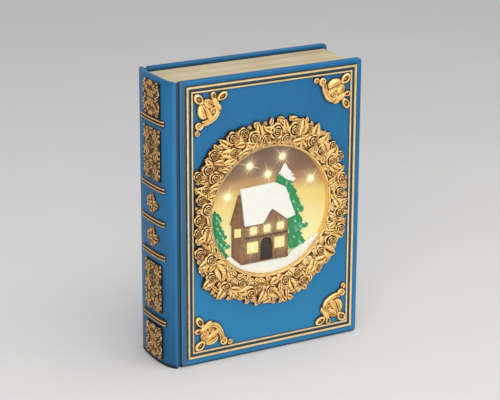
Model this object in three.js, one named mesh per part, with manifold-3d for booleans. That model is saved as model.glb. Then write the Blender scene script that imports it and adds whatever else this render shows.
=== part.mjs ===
// A battery-lit ornament in the shape of a closed antique book, standing upright.
// Millimetres. The book is built with x from the hinge edge of the front cover to the fore
// edge, y from the face of the front cover to the back, and z up from the table.

import * as THREE from "three";
import { mergeVertices } from "three/addons/utils/BufferGeometryUtils.js";
import Module from "manifold-3d";

// Covers
const coverHeight = 200;
const coverWidth = 139;
const coverThickness = 4.5;
const bookDepth = 50;
const coverCornerRadius = 2.5;
const coverEdgeRound = 1;
const hingeGrooveWidth = 2.8;
const hingeGrooveDepth = 1.8;

// Spine and page edges
const spineBulge = 6.8;
const spineWall = 4.5;
const spineCurvePower = 2.6;
const pageInset = 3.2;
const pageWall = 5;

// Gilt frame of two beads round the front cover
const beadMarginSide = 4.1;
const beadMarginTop = 3.4;
const beadMarginBottom = 4.6;
const outerBeadWidth = 2.2;
const outerBeadHeight = 1.3;
const beadChannelWidth = 1.4;
const innerBeadWidth = 1.7;
const innerBeadHeight = 1;

// Wreath, and the window as wide as it leaves free
const wreathSideBand = 15.3;
const windowRimLap = 1.5;
const wreathSideClearance = 0.8;
const wreathTopBand = 23.5;
const wreathHeight = 6;
const wreathBedHeight = 3.2;
const wreathRimHeight = 3.8;
const wreathRimWidth = 1.2;
const largestRoseRadius = 5.5;
const leafLength = 11;
const leafWidth = 7;
const leafThickness = 1.6;
const leafRib = 0.9;

// Corner scrolls
const scrollClearance = 0.6;
const scrollSize = 29;
const scrollHeight = 2.8;

// Spine ornaments
const seatGap = 0.3;
const panelStart = 10.8;
const panelAcross = 22.2;
const panelPlate = 0.9;
const panelRelief = 0.9;
const curlPitch = 4.4;
const panelHeadMargin = 2;
const panelTailMargin = 3.6;
const headPanelToBand = 0.9;
const upperPanelToBand = 3;
const lowerPanelToBand = 4.1;
const tailPanelToBand = 2.4;
const flowerToBand = 1.9;
const bandStart = 7;
const bandAcross = 31;
const bandBase = 0.5;
const bandRise = 1;
const bandHeight = 4.4;
const bandRuleWidth = 1.4;
const flowerAcross = 18;
const flowerPlate = 0.8;
const flowerRelief = 1;

// Snow scene behind the window
const skyLap = 2.5;
const skyThickness = 1.5;
const cottageRelief = 3.3;
const roofEavesRelief = 3.9;
const roofRidgeRelief = 2.2;
const gableFarRelief = 1.2;
const doorRelief = 2.4;
const beamRise = 0.4;
const beamWidth = 1.1;
const firRelief = 1.6;
const snowRelief = 2.8;

// Light unit
const housingLip = 3.5;
const housingWall = 1.8;
const housingFlange = 2.5;
const boardSetback = 5.5;
const boardThickness = 1.6;
const boardEdgeClearance = 2;
const ledRadius = 1.5;
const ledFlangeRadius = 1.9;
const ledFlangeHeight = 1;
const starTipProud = 1.2;
const windowLedStandoff = 1;
const postRadius = 3;
const stakeRadius = 1.2;
const stakeHeadRadius = 2;
const stakeHeadHeight = 0.9;
const leadHoleRadius = 4;

// Screws of the back cover
const screwHeadHeight = 1.2;
const coverScrewRadius = 1.3;
const coverScrewHeadRadius = 2.6;
const coverScrewLength = 11;
const coverScrewInset = 12;

// Battery bay for two AA cells
const cellDiameter = 14.5;
const cellLength = 49.5;
const cellNubRadius = 2.6;
const cellNubLength = 1;
const cellClearance = 0.5;
const cellSpacing = 1;
const contactThickness = 0.5;
const contactWidth = 9;
const contactTabWidth = 3;
const contactTabReach = 3.2;
const springLength = 5;
const springWire = 0.7;
const springTopRadius = 2.4;
const springBaseRadius = 4;
const springTurns = 3;
const bayWall = 1.5;
const bayFlange = 3;
const bayCentreHeight = 46;
const bayLedge = 2;

// Battery cover
const doorThickness = 2.2;
const doorGap = 0.3;
const hingeSetIn = 0.1;
const tongueWidth = 6;
const tongueReach = 2;
const tongueThickness = 1.2;
const tongueRoot = 3;
const latchWidth = 9;
const gripGrooveWidth = 0.8;
const gripGroovePitch = 1.8;
const gripGrooveLength = 12;
const gripGrooveDepth = 0.6;

// Slide switch
const switchAboveBay = 14;
const switchLength = 13;
const switchWide = 6.5;
const switchDeep = 7;
const switchPocketDepth = 1.6;
const switchPocketMargin = 1.8;
const knobLength = 3.2;
const knobWide = 3;
const knobTravel = 3;
const knobSunk = 0.4;
const knobDepthInBody = 3.4;
const knobRidge = 0.5;
const switchTagLength = 2.5;
const switchTagWidth = 1.2;
const switchTagThickness = 0.5;

// Inner leads
const leadRadius = 0.7;

// Counts and tolerances
const cutOverrun = 1;
const roundSegments = 24;
const windowSegments = 36;
const smallSegments = 8;
const weldDistance = 1e-4;
const degreesPerTurn = 360;

const wasm = await Module();
wasm.setup();

// Derived places
const backCoverInner = bookDepth - coverThickness;
const midDepth = bookDepth / 2;
const pageRight = coverWidth - pageInset;
const pageTop = coverHeight - pageInset;
const innerBeadOffset = outerBeadWidth + beadChannelWidth;
const beadInnerOffset = innerBeadOffset + innerBeadWidth;
const frame = {
  left: beadMarginSide,
  right: coverWidth - beadMarginSide,
  bottom: beadMarginBottom,
  top: coverHeight - beadMarginTop,
};
const centre = { x: (frame.left + frame.right) / 2, z: (frame.bottom + frame.top) / 2 };
const wreathHalfWidth = (frame.right - frame.left) / 2 - beadInnerOffset - wreathSideClearance;
const windowRadius = wreathHalfWidth - wreathSideBand;
const coverWindowRadius = windowRadius + windowRimLap;
const skyRadius = coverWindowRadius + skyLap;
const skyFront = coverThickness;
const skyBack = skyFront + skyThickness;
const boardFront = skyBack + boardSetback;
const boardBack = boardFront + boardThickness;

const { floor } = Math;

function radians(degrees) {
  return THREE.MathUtils.degToRad(degrees);
}

// Solids

function weld(geometry) {
  const bare = geometry.index ? geometry.toNonIndexed() : geometry.clone();
  bare.deleteAttribute("normal");
  bare.deleteAttribute("uv");
  const welded = mergeVertices(bare, weldDistance);
  const source = welded.index.array;
  const kept = [];
  for (let t = 0; t < source.length; t += 3) {
    const [a, b, c] = [source[t], source[t + 1], source[t + 2]];
    if (a !== b && b !== c && c !== a) kept.push(a, b, c);
  }
  welded.setIndex(kept);
  return welded;
}

function toSolid(geometry) {
  const welded = weld(geometry);
  const vertProperties = new Float32Array(welded.attributes.position.array);
  const triVerts = new Uint32Array(welded.index.array);
  return new wasm.Manifold(new wasm.Mesh({ numProp: 3, vertProperties, triVerts }));
}

function toGeometry(solid) {
  const { vertProperties, triVerts } = solid.getMesh();
  const geometry = new THREE.BufferGeometry();
  geometry.setAttribute("position", new THREE.BufferAttribute(new Float32Array(vertProperties), 3));
  geometry.setIndex(Array.from(triVerts));
  return geometry;
}

function join(geometries) {
  return toGeometry(geometries.map(toSolid).reduce((whole, next) => whole.add(next)));
}

function cut(geometry, tools) {
  return toGeometry(tools.map(toSolid).reduce((whole, next) => whole.subtract(next), toSolid(geometry)));
}

function common(geometry, tool) {
  return toGeometry(toSolid(geometry).intersect(toSolid(tool)));
}

function outward(geometry) {
  const p = geometry.attributes.position;
  const index = geometry.index.array;
  const [a, b, c] = [new THREE.Vector3(), new THREE.Vector3(), new THREE.Vector3()];
  let volume = 0;
  for (let t = 0; t < index.length; t += 3) {
    a.fromBufferAttribute(p, index[t]);
    b.fromBufferAttribute(p, index[t + 1]);
    c.fromBufferAttribute(p, index[t + 2]);
    volume += a.dot(b.cross(c));
  }
  if (volume < 0) geometry.setIndex(Array.from(index).reverse());
  return geometry;
}

function fromFaces(points, faces) {
  const geometry = new THREE.BufferGeometry().setFromPoints(points);
  geometry.setIndex(faces.flat());
  return outward(weld(geometry));
}

// Skin over a row of rings with the same number of points, closed by a fan at each end.
function ringBody(rings, startCentre, endCentre) {
  const count = rings[0].length;
  const points = [...rings.flat(), startCentre, endCentre];
  const start = rings.length * count;
  const last = start - count;
  const faces = [];
  for (let i = 0; i < count; i++) {
    const j = (i + 1) % count;
    faces.push([start, j, i], [start + 1, last + i, last + j]);
    for (let r = 0; r < last; r += count) {
      faces.push([r + i, r + j, r + count + j], [r + i, r + count + j, r + count + i]);
    }
  }
  return fromFaces(points, faces);
}

// Skin over rings that follow each other round a closed loop.
function loopBody(rings) {
  const count = rings[0].length;
  const faces = [];
  for (let r = 0; r < rings.length; r++) {
    const here = r * count;
    const next = ((r + 1) % rings.length) * count;
    for (let i = 0; i < count; i++) {
      const j = (i + 1) % count;
      faces.push([here + i, here + j, next + j], [here + i, next + j, next + i]);
    }
  }
  return fromFaces(rings.flat(), faces);
}

// Plate between a front and a back surface, each given over shares 0 to 1 across and up.
function slab(columns, rows, front, back) {
  const points = [];
  for (const surface of [front, back]) {
    for (let j = 0; j <= rows; j++) {
      for (let i = 0; i <= columns; i++) points.push(surface(i / columns, j / rows));
    }
  }
  const behind = (columns + 1) * (rows + 1);
  const at = (i, j) => j * (columns + 1) + i;
  const faces = [];
  for (let j = 0; j < rows; j++) {
    for (let i = 0; i < columns; i++) {
      const [a, b, c, d] = [at(i, j), at(i + 1, j), at(i + 1, j + 1), at(i, j + 1)];
      faces.push([a, b, c], [a, c, d], [behind + a, behind + c, behind + b]);
      faces.push([behind + a, behind + d, behind + c]);
    }
  }
  const wall = (p, q) => faces.push([q, p, behind + p], [q, behind + p, behind + q]);
  for (let i = 0; i < columns; i++) {
    wall(at(i, 0), at(i + 1, 0));
    wall(at(i + 1, rows), at(i, rows));
  }
  for (let j = 0; j < rows; j++) {
    wall(at(columns, j), at(columns, j + 1));
    wall(at(0, j + 1), at(0, j));
  }
  return fromFaces(points, faces);
}

function box(x0, x1, y0, y1, z0, z1) {
  const geometry = new THREE.BoxGeometry(x1 - x0, y1 - y0, z1 - z0);
  return geometry.translate((x0 + x1) / 2, (y0 + y1) / 2, (z0 + z1) / 2);
}

// Round bar along y.
function barY(x, z, radius, y0, y1, segments = smallSegments) {
  const geometry = new THREE.CylinderGeometry(radius, radius, y1 - y0, segments);
  return geometry.translate(x, (y0 + y1) / 2, z);
}

// Round bar along x.
function barX(y, z, radius, x0, x1, segments = smallSegments) {
  const geometry = new THREE.CylinderGeometry(radius, radius, x1 - x0, segments);
  return geometry.rotateZ(Math.PI / 2).translate((x0 + x1) / 2, y, z);
}

// Outline drawn in x and z, given a thickness from y0 back to y1.
function extrudeY(shape, y0, y1, options = {}) {
  const settings = { depth: y1 - y0, bevelEnabled: false, ...options };
  return new THREE.ExtrudeGeometry(shape, settings).rotateX(Math.PI / 2).translate(0, y1, 0);
}

// Outline drawn in x and y, given a height from z0 up to z1.
function extrudeZ(shape, z0, z1, options = {}) {
  const settings = { depth: z1 - z0, bevelEnabled: false, ...options };
  return new THREE.ExtrudeGeometry(shape, settings).translate(0, 0, z0);
}

// Outline drawn in y and z, given a length from x0 to x1.
function extrudeX(shape, x0, x1, options = {}) {
  const settings = { depth: x1 - x0, bevelEnabled: false, ...options };
  const turn = new THREE.Matrix4().set(0, 0, 1, x0, 1, 0, 0, 0, 0, 1, 0, 0, 0, 0, 0, 1);
  return new THREE.ExtrudeGeometry(shape, settings).applyMatrix4(turn);
}

// Turned body about an axis along y, from a profile of [radius, y] points.
function turned(x, z, profile, segments = roundSegments) {
  const points = profile.map(([radius, y]) => new THREE.Vector2(radius, y));
  return outward(weld(new THREE.LatheGeometry(points, segments).translate(x, 0, z)));
}

function shapeOf(points) {
  return new THREE.Shape(points.map(([a, b]) => new THREE.Vector2(a, b)));
}

// Outline moved outward by a distance, for the clearance round a neighbour.
function grown(points, distance) {
  const turn = THREE.ShapeUtils.isClockWise(points.map(([a, b]) => new THREE.Vector2(a, b))) ? -1 : 1;
  return points.map((point, i) => {
    const before = points[(i + points.length - 1) % points.length];
    const after = points[(i + 1) % points.length];
    const inEdge = new THREE.Vector2(point[0] - before[0], point[1] - before[1]).normalize();
    const outEdge = new THREE.Vector2(after[0] - point[0], after[1] - point[1]).normalize();
    const normal = new THREE.Vector2(inEdge.y + outEdge.y, -inEdge.x - outEdge.x).normalize();
    const spread = Math.max(normal.dot(new THREE.Vector2(inEdge.y, -inEdge.x)), 1 / 2);
    const step = (turn * distance) / spread;
    return [point[0] + normal.x * step, point[1] + normal.y * step];
  });
}

// Relief plate: an outline in x and z whose front stands at y = front(x, z), its back flat.
function relief(outline, front, back) {
  const flat = outline.map(([x, z]) => new THREE.Vector2(x, z));
  const triangles = THREE.ShapeUtils.triangulateShape(flat, []);
  const count = outline.length;
  const points = outline.map(([x, z]) => new THREE.Vector3(x, front(x, z), z));
  points.push(...outline.map(([x, z]) => new THREE.Vector3(x, back, z)));
  const winding = THREE.ShapeUtils.isClockWise(flat) ? -1 : 1;
  const faces = [];
  for (const [a, b, c] of triangles) faces.push([a, b, c], [count + c, count + b, count + a]);
  for (let i = 0; i < count; i++) {
    const j = (i + 1) % count;
    const side = winding > 0 ? [[i, count + i, count + j], [i, count + j, j]]
      : [[i, count + j, count + i], [i, j, count + j]];
    faces.push(...side);
  }
  return fromFaces(points, faces);
}

// Tube of a polygon section along a curve.
function tube(curve, radius, steps, sides) {
  const section = [];
  for (let i = 0; i < sides; i++) {
    const turn = (i / sides) * 2 * Math.PI;
    section.push([radius * Math.cos(turn), radius * Math.sin(turn)]);
  }
  return new THREE.ExtrudeGeometry(shapeOf(section), { steps, extrudePath: curve, bevelEnabled: false });
}

// Finishes
const finishes = {
  blue: new THREE.MeshStandardMaterial({ color: 0x2f78ad, roughness: 0.5, metalness: 0 }),
  gilt: new THREE.MeshStandardMaterial({ color: 0xd8ab62, roughness: 0.4, metalness: 0.6 }),
  pages: new THREE.MeshStandardMaterial({ color: 0xd9cdaa, roughness: 0.85, metalness: 0 }),
  sky: new THREE.MeshStandardMaterial({ color: 0xe3c888, roughness: 0.5, metalness: 0 }),
  timber: new THREE.MeshStandardMaterial({ color: 0x7c6052, roughness: 0.8, metalness: 0 }),
  darkWood: new THREE.MeshStandardMaterial({ color: 0x3b3532, roughness: 0.8, metalness: 0 }),
  snow: new THREE.MeshStandardMaterial({ color: 0xf2f1ec, roughness: 0.8, metalness: 0 }),
  fir: new THREE.MeshStandardMaterial({ color: 0x2c8a52, roughness: 0.8, metalness: 0 }),
  whitePlastic: new THREE.MeshStandardMaterial({ color: 0xe6e4dd, roughness: 0.5, metalness: 0 }),
  blackPlastic: new THREE.MeshStandardMaterial({ color: 0x1d1d1f, roughness: 0.5, metalness: 0 }),
  board: new THREE.MeshStandardMaterial({ color: 0xdfe3d8, roughness: 0.6, metalness: 0 }),
  lamp: new THREE.MeshStandardMaterial({ color: 0xffe9b0, roughness: 0.2, metalness: 0 }),
  steel: new THREE.MeshStandardMaterial({ color: 0xb9bcc0, roughness: 0.3, metalness: 0.9 }),
  cellJacket: new THREE.MeshStandardMaterial({ color: 0x3c4a57, roughness: 0.4, metalness: 0.2 }),
  redLead: new THREE.MeshStandardMaterial({ color: 0xb3231f, roughness: 0.5, metalness: 0 }),
  blackLead: new THREE.MeshStandardMaterial({ color: 0x1b1b1b, roughness: 0.5, metalness: 0 }),
};

const book = new THREE.Group();

function add(name, geometry, finish) {
  const mesh = new THREE.Mesh(geometry, finish);
  mesh.name = name;
  book.add(mesh);
  return mesh;
}

// Covers

function boardOutline() {
  const shape = new THREE.Shape();
  const r = coverCornerRadius;
  shape.moveTo(0, 0);
  shape.lineTo(coverWidth - r, 0);
  shape.absarc(coverWidth - r, r, r, -Math.PI / 2, 0);
  shape.lineTo(coverWidth, coverHeight - r);
  shape.absarc(coverWidth - r, coverHeight - r, r, 0, Math.PI / 2);
  shape.lineTo(0, coverHeight);
  return shape;
}

// A board with softened edges, and the thinner lip that joins it to the spine.
function board(y0, y1, lip0, lip1) {
  const edges = {
    bevelEnabled: true,
    bevelThickness: coverEdgeRound,
    bevelSize: coverEdgeRound,
    bevelOffset: -coverEdgeRound,
    bevelSegments: 2,
    curveSegments: 4,
  };
  const plate = extrudeY(boardOutline(), y0 + coverEdgeRound, y1 - coverEdgeRound, edges);
  const [low, high] = [coverEdgeRound, coverHeight - coverEdgeRound];
  const lip = box(-hingeGrooveWidth, 2 * coverEdgeRound, lip0, lip1, low, high);
  return join([plate, lip]);
}

const flangeRadius = skyRadius + seatGap + housingLip;

function aroundWindow(radius, degrees) {
  return [centre.x + radius * Math.cos(radians(degrees)), centre.z + radius * Math.sin(radians(degrees))];
}

function frontCover() {
  const plate = board(0, coverThickness, hingeGrooveDepth, coverThickness);
  const behind = coverThickness + cutOverrun;
  const window = barY(centre.x, centre.z, coverWindowRadius, -cutOverrun, behind, windowSegments);
  return cut(plate, [window]);
}

// Battery bay: the cells lie along x, one above the other, and load from the back.
const bay = {};
bay.length = cellLength + cellNubLength + springLength + 2 * contactThickness + 4 * seatGap;
bay.height = 2 * cellDiameter + cellSpacing + 2 * cellClearance;
bay.left = centre.x - bay.length / 2;
bay.right = bay.left + bay.length;
bay.bottom = bayCentreHeight - bay.height / 2;
bay.top = bay.bottom + bay.height;
const doorInner = bookDepth - doorThickness;
const cellAxis = doorInner - seatGap - cellDiameter / 2;
bay.floor = cellAxis - cellDiameter / 2 - seatGap;
const lowerCell = bayCentreHeight - (cellDiameter + cellSpacing) / 2;
const upperCell = bayCentreHeight + (cellDiameter + cellSpacing) / 2;
const doorway = {
  left: bay.left - bayLedge,
  right: bay.right + bayLedge,
  bottom: bay.bottom - bayLedge,
  top: bay.top + bayLedge,
};
const doorTop = doorway.top - doorGap;
const tongueShares = [0.2, 0.8];
const tongueCentres = tongueShares.map((share) => doorway.left + share * (doorway.right - doorway.left));

const switchPlace = { x: centre.x, z: doorway.top + switchAboveBay };
const coverScrewPlaces = [];
for (const x of [coverScrewInset, coverWidth - coverScrewInset]) {
  for (const z of [pageInset + pageWall / 2, pageTop - pageWall / 2]) coverScrewPlaces.push([x, z]);
}

// Room behind the back cover for the tongues of the battery cover and for their swing.
function tongueNotches() {
  const half = tongueWidth / 2 + seatGap;
  const top = doorTop + tongueReach + seatGap;
  return tongueCentres.map((x) =>
    box(x - half, x + half, backCoverInner - cutOverrun, doorInner, bay.top - cutOverrun, top));
}

function backCover() {
  const plate = board(backCoverInner, bookDepth, backCoverInner, bookDepth - hingeGrooveDepth);
  const through = [backCoverInner - cutOverrun, bookDepth + cutOverrun];
  const opening = box(bay.left, bay.right, ...through, bay.bottom, bay.top);
  const behind = bookDepth + cutOverrun;
  const recess = box(doorway.left, doorway.right, doorInner - doorGap, behind, doorway.bottom, doorway.top);
  const pocket = box(
    switchPlace.x - switchLength / 2,
    switchPlace.x + switchLength / 2,
    bookDepth - switchPocketDepth,
    bookDepth + cutOverrun,
    switchPlace.z - knobWide / 2 - switchPocketMargin,
    switchPlace.z + knobWide / 2 + switchPocketMargin,
  );
  const slotHalf = (knobLength + knobTravel) / 2 + seatGap;
  const slot = box(
    switchPlace.x - slotHalf,
    switchPlace.x + slotHalf,
    ...through,
    switchPlace.z - knobWide / 2 - seatGap,
    switchPlace.z + knobWide / 2 + seatGap,
  );
  const screwHoles = coverScrewPlaces.flatMap(([x, z]) => [
    barY(x, z, coverScrewRadius + seatGap, ...through),
    barY(x, z, coverScrewHeadRadius + seatGap, bookDepth - screwHeadHeight - seatGap, bookDepth + cutOverrun),
  ]);
  return cut(plate, [opening, recess, ...tongueNotches(), pocket, slot, ...screwHoles]);
}

// Spine

// Reach of the spine beyond the covers at a depth y, for a bulge that may be the inner one.
function spineReach(y, bulge, halfDepth) {
  const share = Math.min(Math.abs(y - midDepth) / halfDepth, 1);
  return bulge * Math.sqrt(1 - share ** spineCurvePower);
}

function spineArc(bulge, halfDepth, steps) {
  const points = [];
  for (let i = 0; i <= steps; i++) {
    const y = midDepth - halfDepth * Math.cos((Math.PI * i) / steps);
    points.push([-hingeGrooveWidth - spineReach(y, bulge, halfDepth), y]);
  }
  return points;
}

const spineSteps = 24;
const pageArcSteps = 16;
const innerHalfDepth = midDepth - coverThickness;
const innerBulge = Math.max(spineBulge - spineWall, spineBulge / 4);

function spineShell() {
  const outer = spineArc(spineBulge, midDepth, spineSteps);
  const inner = spineArc(innerBulge, innerHalfDepth, spineSteps).reverse();
  return extrudeZ(shapeOf([...outer, ...inner]), 0, coverHeight);
}

// Point on the spine's outer face at depth y, lifted off it by a distance.
function onSpine(y, z, lift) {
  const share = (y - midDepth) / midDepth;
  const steep = Math.sqrt(1 - Math.abs(share) ** spineCurvePower);
  const rise = spineBulge * spineCurvePower * Math.abs(share) ** (spineCurvePower - 1) * Math.sign(share);
  const slope = rise / (2 * steep * midDepth);
  const length = Math.hypot(1, slope);
  const x = -hingeGrooveWidth - spineBulge * steep;
  return new THREE.Vector3(x - lift / length, y + (lift * slope) / length, z);
}

// Page edges: three strips, the head and tail ones shaped to the inside of the spine.

function pageOutline() {
  const bulge = innerBulge;
  const arc = spineArc(bulge, innerHalfDepth, pageArcSteps).map(([x, y]) => [x + seatGap, y]);
  return shapeOf([...arc.reverse(), [pageRight, coverThickness], [pageRight, backCoverInner]]);
}

function pageStrip(z0, z1) {
  const strip = extrudeZ(pageOutline(), z0, z1);
  const pilots = coverScrewPlaces.map(([x, z]) => {
    const deep = bookDepth - coverScrewLength - seatGap;
    return barY(x, z, coverScrewRadius + seatGap, deep, backCoverInner + cutOverrun);
  });
  return cut(strip, pilots);
}

function foreStrip() {
  const [low, high] = [pageInset + pageWall, pageTop - pageWall];
  return box(pageRight - pageWall, pageRight, coverThickness, backCoverInner, low, high);
}

// Beads: a rectangular frame with a rounded section, mitred at its corners.
const beadSectionShares = [[0, 0], [0, 0.6], [0.25, 1], [0.75, 1], [1, 0.6], [1, 0]];

function bead(offset, width, height) {
  const rings = [[1, 1], [-1, 1], [-1, -1], [1, -1]].map(([sideX, sideZ]) =>
    beadSectionShares.map(([across, up]) => {
      const inset = offset + across * width;
      const x = sideX > 0 ? frame.right - inset : frame.left + inset;
      const z = sideZ > 0 ? frame.top - inset : frame.bottom + inset;
      return new THREE.Vector3(x, -up * height, z);
    }));
  return loopBody(rings);
}

// Wreath of roses and leaves

const wreathHalfTall = windowRadius + wreathTopBand;
const wreathCurvePower = 2.5;
const bedReachShare = 0.8;
const bedCrestShare = 0.45;

// Distance from the window's centre to the wreath's outline in a direction.
function wreathReach(degrees) {
  const across = Math.abs(Math.cos(radians(degrees))) / wreathHalfWidth;
  const up = Math.abs(Math.sin(radians(degrees))) / wreathHalfTall;
  return (across ** wreathCurvePower + up ** wreathCurvePower) ** (-1 / wreathCurvePower);
}

// Place on the wreath: 0 at the window's rim, 1 at the outline.
function onWreath(degrees, share, y) {
  const radius = windowRadius + share * (wreathReach(degrees) - windowRadius);
  const [x, z] = aroundWindow(radius, degrees);
  return new THREE.Vector3(x, y, z);
}

function wreathBed() {
  const rings = [];
  for (let i = 0; i < windowSegments; i++) {
    const turn = (degreesPerTurn * i) / windowSegments;
    const rim = (radius, y) => {
      const [x, z] = aroundWindow(radius, turn);
      return new THREE.Vector3(x, y, z);
    };
    rings.push([
      rim(windowRadius, 0),
      rim(windowRadius, -wreathRimHeight),
      rim(windowRadius + wreathRimWidth, -wreathRimHeight),
      onWreath(turn, bedCrestShare, -wreathBedHeight),
      onWreath(turn, bedReachShare, -wreathBedHeight / 2),
      onWreath(turn, bedReachShare, 0),
    ]);
  }
  return loopBody(rings);
}

// Rings of a rose from its rim to its bud: share of the radius, share of the height, and turn.
const roseRingShares = [[1, 0, 0], [0.92, 0.85, 0.2], [0.55, 0.45, 0.6]];
const roseSectors = 7;
const petalDepthShare = 0.07;
const budShare = 1;
const roseTiltShare = 0.16;

function rose(place, radius, tilt) {
  const height = wreathHeight + place.y;
  const rings = roseRingShares.map(([reach, rise, twist]) => {
    const ring = [];
    for (let i = 0; i < roseSectors; i++) {
      const turn = ((i + twist) / roseSectors) * 2 * Math.PI;
      const r = radius * reach * (1 + petalDepthShare * (i % 2 ? 1 : -1));
      const lean = 1 - roseTiltShare * (1 + Math.cos(turn - tilt)) * rise;
      const y = place.y - height * rise * lean;
      ring.push(new THREE.Vector3(place.x + r * Math.cos(turn), y, place.z + r * Math.sin(turn)));
    }
    return ring;
  });
  const bud = new THREE.Vector3(place.x, place.y - height * budShare, place.z);
  return ringBody(rings, place, bud);
}

// Half outline of a leaf from its stalk to its tip: share of the length, share of the half width.
const leafOutlineShares = [[0, 0], [0.25, 0.9], [0.65, 0.85], [1, 0], [0.65, -0.85], [0.25, -0.9]];
const leafCrestShare = 0.45;
const leafDroopShare = 0.3;

// Pointed leaf with its tip at a place, its stalk toward the bed and its edges at a height.
function leaf(tip, heading, size, edgeHeight) {
  const length = leafLength * size;
  const half = (leafWidth * size) / 2;
  const point = (along, across, y) => {
    const back = (along - 1) * length;
    const x = tip.x + back * Math.cos(heading) - across * Math.sin(heading);
    const z = tip.z + back * Math.sin(heading) + across * Math.cos(heading);
    return new THREE.Vector3(x, y, z);
  };
  const low = leafOutlineShares.map(([along, across]) => point(along, across * half, tip.y));
  const high = leafOutlineShares.map(([along, across]) =>
    point(along, across * half, -edgeHeight * (1 - along * leafDroopShare)));
  const crest = -edgeHeight - leafRib;
  return ringBody([low, high], point(leafCrestShare, 0, tip.y), point(leafCrestShare, 0, crest));
}

// Roses: direction in degrees, share of the band, and share of the largest rose.
const rosePlaceShares = [
  [119, 0.84, 0.85], [112, 0.8, 0.75], [106, 0.5, 0.9], [89, 0.52, 1.05], [75, 0.55, 1], [97, 0.25, 0.7],
  [92, 0.2, 0.6], [83, 0.22, 0.7], [73, 0.2, 0.65], [124, 0.4, 0.7], [134, 0.8, 0.7], [149, 0.9, 0.65],
  [143, 0.74, 0.85], [145, 0.36, 0.85], [155, 0.56, 0.65], [162, 0.72, 0.7],
  [168, 0.38, 1], [176, 0.8, 0.75],
  [185, 0.42, 0.8], [183, 0.86, 0.6], [199, 0.84, 0.75], [207, 0.45, 0.9], [218, 0.66, 0.75],
  [231, 0.58, 0.9],
  [219, 0.24, 0.7], [241, 0.3, 0.75], [251, 0.58, 1], [255, 0.22, 0.6], [267, 0.45, 0.85], [281, 0.26, 0.85],
  [294, 0.6, 0.65], [292, 0.22, 0.7], [305, 0.24, 0.8], [308, 0.62, 0.75], [318, 0.3, 0.75], [329, 0.43, 1],
  [340, 0.66, 0.75], [352, 0.45, 0.8], [9, 0.42, 0.8], [18, 0.66, 0.75], [26, 0.3, 0.75], [35, 0.46, 0.95],
  [33, 0.84, 0.7], [42, 0.78, 0.65], [47, 0.35, 0.8], [58, 0.4, 0.85], [66, 0.66, 0.7],
];

// Leaves: direction of the tip, share of the band at the tip, lean of the leaf, and share of size.
const leafPlaceShares = [
  [126, 1.04, 20, 1.1], [115, 0.98, -25, 0.9], [101, 1.06, 0, 1.1], [91, 0.92, -10, 0.9], [83, 0.96, 15, 1],
  [71, 0.99, 10, 1.1], [59, 1, 15, 1.1], [50, 0.96, -10, 1], [39, 1.01, 0, 1.1], [24, 1, 5, 1],
  [12, 0.98, -20, 0.8], [1, 0.98, 10, 0.8], [347, 0.98, 20, 0.8], [334, 1, -5, 1.1], [323, 1.02, 5, 1.2],
  [311, 0.94, -20, 1], [300, 0.92, 15, 1], [287, 0.94, 10, 1.3], [278, 0.88, 20, 1], [269, 1, 0, 1.2],
  [259, 0.9, -20, 1], [247, 0.92, -15, 0.9], [240, 0.95, 10, 1], [231, 1, 5, 1.1], [220, 1.04, -5, 1.2],
  [208, 1, -5, 1.1], [191, 0.98, 15, 0.8], [171, 0.98, 15, 0.8], [157, 1, 0, 1], [139, 0.98, -20, 0.8],
  [131, 0.66, 40, 1], [114, 0.5, 50, 0.9], [98, 0.68, 60, 0.9], [65, 0.4, -50, 1], [52, 0.6, 60, 1],
  [25, 0.6, -60, 0.8], [0, 0.7, 40, 0.8], [319, 0.66, 60, 1], [299, 0.5, -60, 1], [273, 0.72, 50, 1],
  [241, 0.66, -50, 1], [225, 0.5, 60, 1], [212, 0.3, -60, 0.8], [194, 0.55, 60, 1.1], [157, 0.3, -50, 0.8],
  [134, 0.36, 60, 0.9],
];
const leafStepShare = 0.3;
const leafHeightSteps = 3;
const roseLeanDegrees = 137;

function roseWreath() {
  const pieces = [wreathBed()];
  leafPlaceShares.forEach(([turn, share, lean, size], i) => {
    const heading = radians(turn + lean);
    const onBed = share < bedReachShare;
    const edge = (onBed ? wreathBedHeight : 0) + leafThickness * (1 + leafStepShare * (i % leafHeightSteps));
    const under = onBed ? wreathBedHeight / 2 : 0;
    pieces.push(leaf(onWreath(turn, share, -under), heading, size, Math.min(edge, wreathHeight - leafRib)));
  });
  rosePlaceShares.forEach(([turn, share, size], i) => {
    const place = onWreath(turn, share, -wreathBedHeight / 3);
    pieces.push(rose(place, size * largestRoseRadius, radians(i * roseLeanDegrees)));
  });
  const whole = join(pieces);
  const clear = barY(centre.x, centre.z, windowRadius, -2 * wreathHeight, cutOverrun, windowSegments);
  return cut(whole, [clear]);
}

// Corner scrolls: drawn from a corner of the inner bead, a along one side and b along the other.

const lobeRingShares = [[1, 0], [0.85, 0.7]];

// Low rounded lobe lying on the cover.
function lobe(a, b, halfLong, halfWide, heading, height) {
  const rings = lobeRingShares.map(([reach, rise]) => {
    const ring = [];
    for (let i = 0; i < smallSegments; i++) {
      const turn = (i / smallSegments) * 2 * Math.PI;
      const along = halfLong * reach * Math.cos(turn);
      const across = halfWide * reach * Math.sin(turn);
      const x = a + along * Math.cos(heading) - across * Math.sin(heading);
      const z = -b - along * Math.sin(heading) - across * Math.cos(heading);
      ring.push(new THREE.Vector3(x, -height * rise, z));
    }
    return ring;
  });
  return ringBody(rings, new THREE.Vector3(a, 0, -b), new THREE.Vector3(a, -height, -b));
}

// Curl: a turned button with a raised lip and a bud.
const curlProfileShares = [[0, 0], [1, 0], [0.85, 0.85], [0.5, 0.5], [0, 1]];

function curl(a, b, radius, height) {
  const profile = curlProfileShares.map(([reach, rise]) => [radius * reach, -height * rise]);
  return turned(a, -b, profile, smallSegments);
}

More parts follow.
